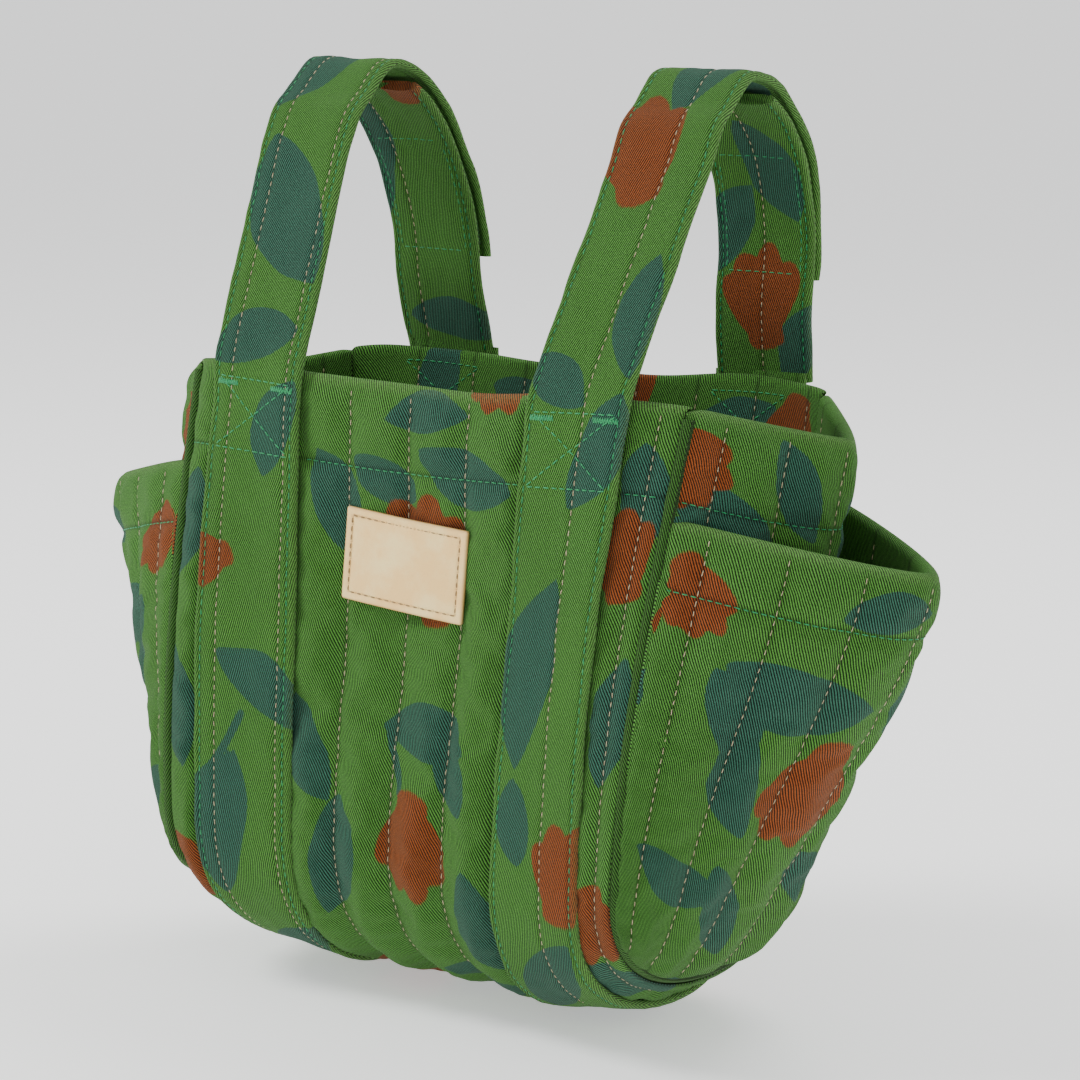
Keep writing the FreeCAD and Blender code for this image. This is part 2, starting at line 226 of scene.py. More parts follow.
class Gusset:
    """The form of a side panel or side pocket, caught in the wrap panel's seam.

    Its points are at w from -1 to 1 across and at t from 0 at the rim to 1 at the foot.
    """

    def __init__(self, top, bulge, droop, sharp, fade, fade_power, stand, hem):
        self.top, self.bulge, self.droop, self.sharp = top, bulge, droop, sharp
        self.fade, self.fade_power, self.stand, self.hem = fade, fade_power, stand, hem
        self.width_run = length_table(self.points(1, ACROSS, 0.25))
        self.half = self.width_run[-1] / 2
        self.drop = length_table(self.points(1, 0, DOWN))
        self.height = float(self.drop[-1])
        self.lines = [CHANNEL * k for k in range(-6, 7) if abs(CHANNEL * k) < self.half - 4]

    def seam_patch(self, k, t):
        s = self.top + (CORNER - self.top) * t
        foot_s = CORNER + (1 - 2 * CORNER) * k
        k3, t3 = k[..., None], t[..., None]
        ends = [seam_point(np.full_like(k, v)) for v in (self.top, 1 - self.top, CORNER, 1 - CORNER)]
        rim = ends[0] * (1 - k3) + ends[1] * k3
        across = seam_point(s) * (1 - k3) + seam_point(1 - s) * k3
        down = rim * (1 - t3) + seam_point(foot_s) * t3
        foot = ends[2] * (1 - k3) + ends[3] * k3
        return across + down - rim * (1 - t3) - foot * t3

    def points(self, side, w, t, stand=None):
        w, t = pair(w, t)
        x, y, z = np.moveaxis(self.seam_patch((w + 1) / 2, t), -1, 0)
        power = self.sharp + 0.3 * t
        shape = 1 - (w * w + 0.0012) ** (power / 2) / (1 + 0.0012) ** (power / 2)
        x = x + self.bulge * np.clip(1 - t**self.fade, 0, 1) ** self.fade_power * shape
        # the cloth stands out from its seam over a few millimetres
        off = np.minimum((1 - np.abs(w)) * 60, (1 - t) * 120)
        x = x + (self.stand if stand is None else stand) * (1 - np.exp(-off / 5))
        return np.stack([side * x, y, z - self.droop * (1 - t) ** 2 * shape], -1)

    def w_at(self, across):
        return np.interp(across + self.half, self.width_run, ACROSS)

    def t_at(self, depth):
        return np.interp(depth, self.drop, DOWN)


FORMS = {
    "side": Gusset(0.0, 39, 12, 1.15, 1.7, 1.0, 0.6, HEM),
    "pocket": Gusset(pocket_top(), 74.3, 18, 1.45, 1.5, 1.15, 5.0, POCKET_HEM),
}

# ---------------------------------------------------------------- the straps' lines

BAR_LINE = BAR + STRAP_THICK / 2  # radius of the strap's middle line on the handlebar


def polar(angle, radius=1.0):
    """A point at an angle, in degrees, from forward over the top."""
    return radius * np.array([math.cos(math.radians(angle)), math.sin(math.radians(angle))])


def line_normals(line):
    ahead = unit(np.vstack([line[1:], line[-1:]]) - np.vstack([line[:1], line[:-1]]))
    return np.stack([-ahead[:, 1], ahead[:, 0]], axis=1)


def rim_middle(side):
    sign = -1 if side == "front" else 1
    return np.array([sign * (RIM_DEPTH[side] + 0.3 + STRAP_THICK / 2), -RIM_DROP[side] + RIM_GAP])


def bezier(a, b, c, d, count=16):
    t = (np.arange(count) / count)[:, None]
    return (1 - t) ** 3 * a + 3 * t * (1 - t) ** 2 * b + 3 * t * t * (1 - t) * c + t**3 * d


def back_curve(inward, low, high, count=60):
    turn = np.radians(np.linspace(high, low, count))
    a, b = LOOP_BACK_DEPTH - LOOP_TOP_DEPTH, LOOP_TOP + FLAP_END_DROP
    y = LOOP_TOP_DEPTH + a * np.clip(np.cos(turn), 0, 1) ** (2 / LOOP_POWER)
    z = -FLAP_END_DROP + b * np.clip(np.sin(turn), 0, 1) ** (2 / LOOP_POWER)
    line = np.stack([y, z], axis=1)
    return line + line_normals(line) * inward


def front_line():
    """The strap's middle line from the front rim over the handlebar to the flap's free end."""
    start = rim_middle("front")
    contact = math.degrees(math.atan2(start[1], start[0])) % 360
    contact -= math.degrees(math.acos(BAR_LINE / float(np.hypot(*start))))
    leg = [start + (polar(contact, BAR_LINE) - start) * k / 30 for k in range(30)]
    arc = [polar(a, BAR_LINE) for a in np.linspace(contact, BAR_CONTACT_END, 12)][:-1]
    lift, top = polar(BAR_CONTACT_END, BAR_LINE), np.array([LOOP_TOP_DEPTH, LOOP_TOP])
    handle = (top[1] - lift[1]) * 0.6
    knee = lift + polar(BAR_CONTACT_END - 90, handle)
    rise = bezier(lift, knee, top - np.array([handle, 0]), top)
    return np.vstack([leg, arc, rise, back_curve(0, 0, 90)])


def back_line():
    """The tab's middle line from the back rim up inside the flap."""
    rim = rim_middle("back")
    curl = back_curve(-TAB_SPACING, 0, 90 - TAB_REACH)[::-1]
    foot = curl[0]
    third = (foot[1] - rim[1]) / 3
    lean = np.array([rim[0] + (foot[0] - rim[0]) * 0.45, rim[1] + third])
    return np.vstack([bezier(rim, lean, foot - np.array([0, third]), foot), curl])


def resampled(line, step):
    run = length_table(line)
    count = max(int(round(run[-1] / step)), 2)
    return along_line(np.linspace(0, run[-1], count + 1), run, line)


# ---------------------------------------------------------------- meshes


def waves(p, scale, seed, count=7):
    """A smooth, repeatable field from -1 to 1 that varies over about scale millimetres."""
    draw = np.random.default_rng(seed)
    total = np.zeros(p.shape[:-1])
    for _ in range(count):
        direction = unit(draw.normal(size=p.shape[-1]))
        rate = 2 * math.pi / (scale * draw.uniform(0.7, 1.6))
        total += np.sin(p @ direction * rate + draw.uniform(0, 2 * math.pi))
    return total / count**0.5 / 1.4


def grid_faces(rows, cols, closed=False, flip=False):
    i, j = np.meshgrid(np.arange(rows - 1), np.arange(cols if closed else cols - 1), indexing="ij")
    k = (j + 1) % cols
    quads = np.stack([i * cols + j, i * cols + k, (i + 1) * cols + k, (i + 1) * cols + j], axis=-1)
    return quads.reshape(-1, 4)[:, :: -1 if flip else 1].tolist()


def new_object(name, verts_mm, faces):
    mesh = bpy.data.meshes.new(name)
    mesh.from_pydata((np.asarray(verts_mm) * MM).tolist(), [], faces)
    mesh.update()
    mesh.shade_smooth()
    obj = bpy.data.objects.new(name, mesh)
    bpy.context.scene.collection.objects.link(obj)
    return obj


def put_attribute(obj, name, values):
    values = np.asarray(values, np.float32)
    kind, key = ("FLOAT_VECTOR", "vector") if values.ndim == 2 else ("FLOAT", "value")
    found = obj.data.attributes.get(name) or obj.data.attributes.new(name, kind, "POINT")
    found.data.foreach_set(key, values.ravel())


def cloth_places(obj):
    """The cloth coordinates of every vertex, across and down."""
    out = np.zeros((len(obj.data.vertices), 3), np.float32)
    obj.data.attributes["cloth"].data.foreach_get("vector", out.ravel())
    return out[:, :2]


def put_cloth(obj, grid, across, runs):
    """Stores the cloth coordinates of a grid of points, with one run for each row."""
    shape = grid.shape[:2]
    places = [np.broadcast_to(v, shape) for v in (across, np.reshape(runs, (-1, 1)), 0.0)]
    put_attribute(obj, "cloth", np.stack(places, axis=-1).reshape(-1, 3))


def open_sheet(name, grid, across, runs, flip):
    """A sheet of cloth from rows of points."""
    obj = new_object(name, grid.reshape(-1, 3), grid_faces(*grid.shape[:2], flip=flip))
    put_cloth(obj, grid, across, runs)
    return obj


def tube(name, rings, across, runs):
    """A closed mesh from rings of points, capped at both ends."""
    grid = np.array(rings)
    count, cols = grid.shape[:2]
    caps = [list(range(cols))[::-1], list(range((count - 1) * cols, count * cols))]
    obj = new_object(name, grid.reshape(-1, 3), grid_faces(count, cols, closed=True) + caps)
    put_cloth(obj, grid, across, runs)
    face_outward(obj)
    return obj


def face_outward(obj):
    """Faces outward, with sharp rings where the end caps meet the sides."""
    bm = bmesh.new()
    bm.from_mesh(obj.data)
    bmesh.ops.recalc_face_normals(bm, faces=bm.faces)
    for face in bm.faces:
        if len(face.verts) > 4:
            for edge in face.edges:
                edge.smooth = False
    bm.to_mesh(obj.data)
    bm.free()


def coordinates(mesh):
    out = np.zeros(len(mesh.vertices) * 3)
    mesh.vertices.foreach_get("co", out)
    return out.reshape(-1, 3)


def finish_cloth(obj, thickness):
    """Smooths the cloth's mesh and gives it its thickness, inward."""
    solid = obj.modifiers.new("ply", "SOLIDIFY")
    solid.thickness = thickness * MM
    solid.offset = -1
    solid.use_quality_normals = True
    smooth = obj.modifiers.new("smooth", "SUBSURF")
    smooth.levels = smooth.render_levels = 1
    graph = bpy.context.evaluated_depsgraph_get()
    done = bpy.data.meshes.new_from_object(obj.evaluated_get(graph), depsgraph=graph)
    obj.modifiers.clear()
    old = obj.data
    obj.data = done
    bpy.data.meshes.remove(old)
    obj.data.shade_smooth()


CLOTH_SETTINGS = {
    "quality": 5, "mass": 0.2, "air_damping": 3, "tension_stiffness": 18, "compression_stiffness": 12,
    "shear_stiffness": 6, "bending_stiffness": 0.35, "vertex_group_mass": "pins", "pin_stiffness": 5,
    "use_pressure": True,
}
FRAMES = 14
MOST_SHIFT = 4.0  # the furthest that the simulation may move the cloth, mm


def relax(obj, pins, pressure, growth):
    """Cloth simulation: the free cloth swells and puckers between its pinned stitch lines."""
    start = coordinates(obj.data)
    group = obj.vertex_groups.new(name="pins")
    levels = np.round(pins.ravel(), 1)
    for level in np.unique(levels[levels > 0]):
        group.add(np.nonzero(levels == level)[0].tolist(), float(level), "REPLACE")
    cloth = obj.modifiers.new("cloth", "CLOTH")
    for key, value in CLOTH_SETTINGS.items():
        setattr(cloth.settings, key, value)
    cloth.settings.uniform_pressure_force = pressure
    cloth.settings.shrink_min = -growth
    cloth.settings.effector_weights.gravity = 0
    cloth.collision_settings.use_collision = False
    cloth.point_cache.frame_start = 1
    cloth.point_cache.frame_end = FRAMES
    for step in range(1, FRAMES + 1):
        bpy.context.scene.frame_set(step)
    solved = obj.evaluated_get(bpy.context.evaluated_depsgraph_get())
    shift = coordinates(solved.to_mesh()) - start
    solved.to_mesh_clear()
    obj.modifiers.remove(cloth)
    size = np.linalg.norm(shift, axis=1, keepdims=True)
    shift *= np.minimum(1, MOST_SHIFT * MM / np.maximum(size, 1e-9))
    obj.data.vertices.foreach_set("co", (start + shift).ravel())
    obj.data.update()
    bpy.context.scene.frame_set(1)


# ---------------------------------------------------------------- the print


def turned(p, x, y, angle):
    """Places along and across a motif whose middle is at x, y."""
    c, s = polar(angle)
    d = p - np.array([x, y])
    return d[:, 0] * c + d[:, 1] * s, d[:, 1] * c - d[:, 0] * s


def leaf(p, x, y, angle, length, width, bend=0.0):
    """Distance, negative inside, to a pointed leaf: two circle arcs that meet in points."""
    along, across = turned(p, x, y, angle)
    across = across - bend * (1 - (2 * along / length) ** 2)
    half_l, half_w = length * 0.54, width * 0.62
    radius = (half_l**2 + half_w**2) / (2 * half_w)
    return np.hypot(along, np.abs(across) + radius - half_w) - radius


def oval(p, x, y, angle, length, width):
    along, across = turned(p, x, y, angle)
    return (np.hypot(along / (length / 2), across / (width / 2)) - 1) * min(length, width) / 2


def stem(p, x, y, angle, length, width):
    along, across = turned(p, x, y, angle)
    return np.hypot(np.maximum(np.abs(along) - length / 2, 0), across) - width / 2


def around(p, x, y, angle, size, shape, parts):
    """The nearest of some shapes that stand round a point; parts give turn, reach and measures."""
    found = []
    for turn, reach, *measures in parts:
        px, py = np.array([x, y]) + polar(angle + turn, size * reach)
        found.append(shape(p, px, py, angle + turn, *(size * m for m in measures)))
    return np.min(found, axis=0)


def blossom(p, x, y, angle, size):
    """A cup of four rounded petals that opens towards angle."""
    petals = ((-34, 0.20, 0.95, 0.42), (-11, 0.26, 1.05, 0.40), (13, 0.24, 1.0, 0.42), (37, 0.18, 0.9, 0.40))
    return around(p, x, y, angle, size, oval, petals)


def sprig(p, x, y, angle, size):
    """Two leaves on a short stem."""
    leaves = around(p, x, y, angle, size, leaf, ((32, 0.5, 0.85, 0.36, 0.03), (-40, 0.42, 0.85, 0.36, 0.03)))
    return np.minimum(stem(p, x, y, angle, size * 0.5, size * 0.07), leaves)


MOTIFS = {"leaf": leaf, "sprig": sprig, "blossom": blossom, "stem": stem}
PRINT_REACH = 30


def print_cloth(obj, motifs, down=0.0):
    """Stores how far every vertex is from the leaf print and from the blossom print."""
    p = cloth_places(obj).astype(float)
    p += np.stack([waves(p, 26, 3), waves(p, 26, 4)], axis=1) * 0.8 - [0, down]
    for layer in ("leaf", "bloom"):
        far = np.full(len(p), PRINT_REACH)
        for kind, places in motifs.items():
            if (kind == "blossom") == (layer == "bloom"):
                for numbers in places:
                    far = np.minimum(far, MOTIFS[kind](p, *numbers))
        put_attribute(obj, layer, np.clip(far, -PRINT_REACH, PRINT_REACH))


def near(values, marks, reach):
    """1 at any of the marks, fading to 0 over a few times the reach."""
    return bell(gap_to(values, marks), reach)


def mark_cloth(obj, lines, hems, rims):
    """Wear on the folded rims, and painted shade in the grooves that the stitching pulls."""
    across, down = cloth_places(obj).T
    put_attribute(obj, "wear_and_hole_shade", near(down, rims, 2.5))
    # painted shade: darker along the quilting lines and hems, fading out near the rims
    groove_shade = np.maximum(near(across, lines, 0.9), near(down, hems, 0.9))
    put_attribute(obj, "groove_shade", groove_shade * (1 - near(down, rims, 4.0)))


# ---------------------------------------------------------------- materials


def new_material(name):
    mat = bpy.data.materials.new(name)
    mat.use_nodes = True
    mat.node_tree.nodes.clear()
    out = mat.node_tree.nodes.new("ShaderNodeOutputMaterial")
    shader = mat.node_tree.nodes.new("ShaderNodeBsdfPrincipled")
    mat.node_tree.links.new(shader.outputs[0], out.inputs[0])
    return mat, shader


def srgb(code):
    parts = [int(code[i : i + 2], 16) / 255 for i in (1, 3, 5)]
    return [c / 12.92 if c <= 0.04045 else ((c + 0.055) / 1.055) ** 2.4 for c in parts] + [1.0]


class Nodes:
    """Short ways to add and join the nodes of one new material."""

    def __init__(self, name):
        self.mat, self.shader = new_material(name)

    def add(self, kind, **settings):
        node = self.mat.node_tree.nodes.new("ShaderNode" + kind)
        for key, value in settings.items():
            setattr(node, key, value)
        return node

    def feed(self, socket, value):
        if hasattr(value, "is_output"):
            self.mat.node_tree.links.new(value, socket)
        else:
            socket.default_value = value

    def set(self, **values):
        """Links or sets the shader's sockets; an underscore stands for a space."""
        for key, value in values.items():
            self.feed(self.shader.inputs[key.replace("_", " ")], value)

    def math(self, operation, *values):
        node = self.add("Math", operation=operation)
        for socket, value in zip(node.inputs, values):
            self.feed(socket, value)
        return node.outputs[0]

    def plus(self, total, *terms):
        for term in terms:
            total = self.math("ADD", total, term)
        return total

    def times(self, a, b):
        return self.math("MULTIPLY", a, b)

    def about(self, value, middle, size):
        """How far a value is from its middle, times a size."""
        return self.times(self.math("SUBTRACT", value, middle), size)

    def sine(self, value, period):
        return self.math("SINE", self.times(value, 2 * math.pi / period))

    def attribute(self, name, output="Fac"):
        return self.add("Attribute", attribute_name=name).outputs[output]

    def noise(self, vector, scale, detail, roughness=0.5):
        node = self.add("TexNoise")
        keys = ("Vector", "Scale", "Detail", "Roughness")
        for key, value in zip(keys, (vector, scale, detail, roughness)):
            self.feed(node.inputs[key], value)
        return node.outputs["Fac"]

    def dot(self, vector, x, y):
        node = self.add("VectorMath", operation="DOT_PRODUCT")
        self.feed(node.inputs[0], vector)
        node.inputs[1].default_value = (x, y, 0)
        return node.outputs["Value"]

    def mix(self, factor, a, b, blend="MIX"):
        node = self.add("Mix", data_type="RGBA", blend_type=blend)
        for socket, value in zip((0, 6, 7), (factor, a, b)):
            self.feed(node.inputs[socket], value)
        return node.outputs[2]

    def between(self, value, low, high, to_low=0.0, to_high=1.0):
        node = self.add("MapRange", interpolation_type="SMOOTHSTEP")
        for socket, number in zip(node.inputs, (value, low, high, to_low, to_high)):
            self.feed(socket, number)
        return node.outputs[0]

    def bump(self, height, strength, distance, under=None):
        node = self.add("Bump")
        self.feed(node.inputs["Strength"], strength)
        self.feed(node.inputs["Distance"], distance)
        self.feed(node.inputs["Height"], height)
        if under is not None:
            self.feed(node.inputs["Normal"], under)
        return node.outputs[0]


GREEN = srgb("#3f6f2a")
TEAL = srgb("#2a5242")
RUST = srgb("#773b18")


def printed_twill(name, rib_pitch, rib_angle):
    """Brushed cotton twill with the printed leaves and blossoms."""
    n = Nodes(name)
    cloth = n.attribute("cloth", "Vector")
    x, y = polar(rib_angle)
    along = n.dot(cloth, y, -x)
    across = n.dot(cloth, x, y)
    rib = n.sine(n.plus(along, n.times(n.noise(cloth, 0.05, 2), 2.2)), rib_pitch)
    weft = n.sine(n.plus(across, along), 0.62)
    slub = n.noise(cloth, 0.9, 3, 0.65)
    fibre = n.noise(cloth, 1.5, 2, 0.6)
    patch = n.noise(cloth, 0.018, 3, 0.55)
    rough_edge = n.about(slub, 0.5, 0.9)
    colour = GREEN
    for layer, ink in (("leaf", TEAL), ("bloom", RUST)):
        inside = n.between(n.plus(n.attribute(layer), rough_edge), 0.25, -0.25)
        colour = n.mix(inside, colour, ink)
    # raised ribs are brighter than the gaps between them, which get painted shade, and single yarns vary
    shade = n.plus(
        n.about(n.between(rib, -0.75, 0.6), 0.58, 1.8),
        n.times(weft, 0.15),
        n.about(slub, 0.5, 0.55),
        n.about(fibre, 0.5, 2.0),
        n.about(patch, 0.5, 0.3),
        1.0,
    )
    # painted shade in the stitched grooves and over the seam rolls
    shade = n.times(shade, n.between(n.attribute("groove_shade"), 0.0, 1.0, 1.0, 0.55))
    shade = n.math("MAXIMUM", shade, 0.05)
    grey = n.add("CombineColor")
    for socket in grey.inputs:
        n.feed(socket, shade)
    colour = n.mix(1.0, colour, grey.outputs[0], "MULTIPLY")
    worn = n.times(n.attribute("wear_and_hole_shade"), n.between(slub, 0.35, 0.7, 0.25, 1.0))
    colour = n.mix(n.times(worn, 0.16), colour, srgb("#9dbd7a"))
    height = n.plus(n.times(rib, 0.5), n.times(weft, 0.12), n.times(slub, 0.9))
    crinkle = n.bump(n.noise(cloth, 0.11, 4, 0.6), 0.35, 0.0012)
    n.set(Base_Color=colour, Normal=n.bump(height, 0.9, 0.0004, crinkle))
    n.set(Roughness=n.between(slub, 0.2, 0.8, 0.8, 0.95), Specular_IOR_Level=0.15)
    n.set(Sheen_Weight=0.07, Sheen_Roughness=0.5, Sheen_Tint=(0.75, 0.9, 0.6, 1))
    return n.mat


def thread_material(name, colour, dark):
    """Twisted sewing thread."""
    n = Nodes(name)
    twist = n.noise(n.add("TexCoord").outputs["Object"], 2600, 2)
    n.set(Base_Color=n.mix(n.between(twist, 0.3, 0.7), srgb(dark), srgb(colour)))
    n.set(Normal=n.bump(twist, 0.4, 0.0001), Roughness=0.55, Sheen_Weight=0.05)
    return n.mat


def leather_material():
    """Smooth natural leather with fine pores, soft mottling, darker cut edges and painted shade in the
    stitch holes.
    """
    n = Nodes("label_leather")
    place = n.add("TexCoord").outputs["Object"]
    mottle = n.noise(place, 90, 4, 0.6)
    pores = n.noise(place, 1900, 2, 0.6)
    cells = n.add("TexVoronoi", feature="DISTANCE_TO_EDGE")
    n.feed(cells.inputs["Vector"], place)
    cells.inputs["Scale"].default_value = 1500
    grain = n.between(cells.outputs["Distance"], 0.0, 0.25)
    colour = n.mix(n.between(mottle, 0.3, 0.75), srgb("#fccd80"), srgb("#ffe29c"))
    colour = n.mix(n.between(pores, 0.55, 0.8, 0.0, 0.25), colour, srgb("#b98e5c"))
    # the attribute darkens the cut edges and paints shade into the stitch holes
    colour = n.mix(n.times(n.attribute("wear_and_hole_shade"), 0.6), colour, srgb("#8f6434"))
    height = n.plus(n.times(grain, 0.5), n.times(mottle, 1.5))
    n.set(Base_Color=colour, Normal=n.bump(height, 0.25, 0.00025))
    n.set(Roughness=n.between(mottle, 0.2, 0.8, 0.42, 0.6), Specular_IOR_Level=0.4)
    return n.mat


def tape_material(name, colour, loops):
    """Woven nylon tape: stiff hooks in rows, or a brushed loop pile."""
    n = Nodes(name)
    cloth = n.attribute("cloth", "Vector")
    mark = n.noise(cloth, 1.6 if loops else 2.4, 4, 0.75)
    if not loops:
        dots = n.times(n.sine(n.dot(cloth, 0, 1), 1.4), n.sine(n.dot(cloth, 1, 0), 1.1))
        mark = n.plus(n.times(dots, 0.5), n.times(mark, 0.5))
    dark = [c * 0.35 for c in srgb(colour)[:3]] + [1]
    n.set(Base_Color=n.mix(n.between(mark, 0.2, 0.75), dark, srgb(colour)))
    n.set(Normal=n.bump(mark, 0.8, 0.0005), Roughness=0.8 if loops else 0.5)
    n.set(Sheen_Weight=0.4 if loops else 0.0)
    return n.mat


TWILL = printed_twill("quilted_twill", rib_pitch=0.88, rib_angle=62)
STRAP_TWILL = printed_twill("strap_twill", rib_pitch=0.78, rib_angle=74)
BEIGE_THREAD = thread_material("beige_thread", "#cfc09a", "#938664")
GREEN_THREAD = thread_material("green_thread", "#0fa05c", "#086338")
LABEL_THREAD = thread_material("label_thread", "#9b7c50", "#6b5232")
LEATHER = leather_material()
TAPES = {
    "hook": tape_material("hook_tape", "#2f6b2c", False),
    "loop": tape_material("loop_tape", "#3a7a33", True),
}


def dress(obj, material, body=None):
    obj.data.materials.clear()
    obj.data.materials.append(material)
    if body:
        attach(obj, body)
    return obj


# ---------------------------------------------------------------- stitches

STITCH_SIDES = 6
STITCH_RINGS = ((-0.5, 0.25), (-0.4, 0.8), (0.0, 1.0), (0.4, 0.8), (0.5, 0.25))

# a stitch's length, the gap after it, its lift off the cloth, its radius and its ends' sink
Seam = namedtuple("Seam", "thread length gap lift radius sink")
QUILTING = Seam(BEIGE_THREAD, 2.2, 1.3, 0.07, 0.18, 0.18 * 1.3)
HEMMING = Seam(GREEN_THREAD, 2.3, 0.8, 0.12, 0.24, 0.24 * 1.3)
STRAP_QUILTING = Seam(BEIGE_THREAD, 2.2, 1.3, 0.06, 0.18, 0.25)
TOPSTITCH = Seam(GREEN_THREAD, 2.6, 1.0, 0.05, 0.24, 0.25)
BOX = Seam(GREEN_THREAD, 2.5, 0.9, 0.14, 0.28, 0.3)
BOX_INSIDE = BOX._replace(lift=0.12)
TACK = Seam(GREEN_THREAD, None, None, 0.12, 0.31, 0.3)
LABEL_SEAM = Seam(LABEL_THREAD, None, None, None, 0.3, 0.35)


def stitch_object(name, stitches, seam, body=None):
    """Thread from a list of stitches (start, end, normal), each sunk a little at its ends."""
    verts, faces = [], []
    angles = np.arange(STITCH_SIDES) * 2 * math.pi / STITCH_SIDES
    one = grid_faces(len(STITCH_RINGS), STITCH_SIDES, closed=True)
    count = len(STITCH_RINGS) * STITCH_SIDES
    one += [list(range(STITCH_SIDES))[::-1], list(range(count - STITCH_SIDES, count))]
    for start, end, normal in stitches:
        axis = unit(end - start)
        side = unit(np.cross(axis, normal))
        up = np.cross(side, axis)
        middle, length = (start + end) / 2, np.linalg.norm(end - start)
        faces += [[k + len(verts) for k in face] for face in one]
        for along, fat in STITCH_RINGS:
            centre = middle + axis * length * along - up * seam.sink * (2 * along) ** 4
            for t in angles:
                verts.append(centre + (side * math.cos(t) + up * math.sin(t)) * seam.radius * fat)
    return dress(new_object(name, np.array(verts), faces), seam.thread, body)


def tree_of(obj):
    """A search tree of a finished mesh, in millimetres."""
    verts = [Vector(p) for p in coordinates(obj.data) / MM]
    return BVHTree.FromPolygons(verts, [tuple(p.vertices) for p in obj.data.polygons])


def drop_on(tree, p, out):
    """Where a needle coming from the side out meets the surface near p, with its normal."""
    if out is not None:
        spot = tree.ray_cast(Vector(p + out * 7), Vector(-out), 16)[0]
        if spot is not None:
            return np.array(spot), out
    spot, normal, _, _ = tree.find_nearest(Vector(p))
    return np.array(spot), np.array(normal)


def lay_stitches(tree, lines, seam):
    """Stitches on a finished surface along lines of points, each with its outward directions."""
    found = []
    for line, outs in lines:
        run = length_table(line)
        at = seam.gap
        draw = np.random.default_rng(len(line) + int(abs(line[0].sum())) % 997)
        while at + seam.length < run[-1]:
            size = seam.length * (1 + draw.uniform(-0.12, 0.12))
            ends = []
            for d in (at, at + size):
                out = None if outs is None else unit(along_line(d, run, outs))
                ends.append(drop_on(tree, along_line(d, run, line), out))
            (start, start_out), (end, end_out) = ends
            normal = unit(start_out + end_out)
            shift = unit(np.cross(normal, end - start)) * draw.uniform(-0.25, 0.25) * 0.5
            found.append((start + normal * seam.lift + shift, end + normal * seam.lift - shift, normal))
            at += size + seam.gap
    return found


def sew(name, tree, lines, seam, body=None):
    """One object with the stitches of several lines."""
    return stitch_object(name, lay_stitches(tree, lines, seam), seam, body)


# ---------------------------------------------------------------- quilted panels

WRAP_LINES = [CHANNEL_START + CHANNEL * k for k in range(-4, 5)]


def facing(grid, toward, at=...):
    """Normals of a grid of points on the side given, and whether its faces have to be flipped."""
    normal = unit(np.cross(np.gradient(grid, axis=1), np.gradient(grid, axis=0)))
    flip = bool(np.sum(normal[at] * toward) < 0)
    return (-normal if flip else normal), flip


def folded_rim(hem, inner_row, rim, out, up, roll):
    """Rows of a folded rim, up the inside and then round the fold, and their runs."""
    depths = np.arange(hem + 2, 2, -5.0)
    turns = np.linspace(math.pi, 0, 7)[:-1]
    rows = [inner_row(d) for d in depths]
    rows += [rim - out * roll + roll * (out * math.cos(f) + up * math.sin(f)) for f in turns]
    return rows, np.concatenate([-depths - math.pi * RIM_ROLL, -turns * RIM_ROLL])


def quilted_lift(across, down, depth, lines, swell, uneven, pull, seeds):
    """How far padded cloth stands out between its quilting lines, and what that is made of."""
    groove = gap_to(across, lines)
    puff = 1 - np.clip(1 - groove / (CHANNEL / 2), 0, 1) ** 2.2
    swell = swell * (1 + uneven * waves(np.stack([across / 13, depth / 60], -1), 3, seeds[0]))
    pucker = 0.35 * waves(np.stack([across / 3, down], -1), 9, seeds[1]) * bell(groove, 8)
    return swell * puff + pucker - pull * bell(groove, 1.8), puff, groove


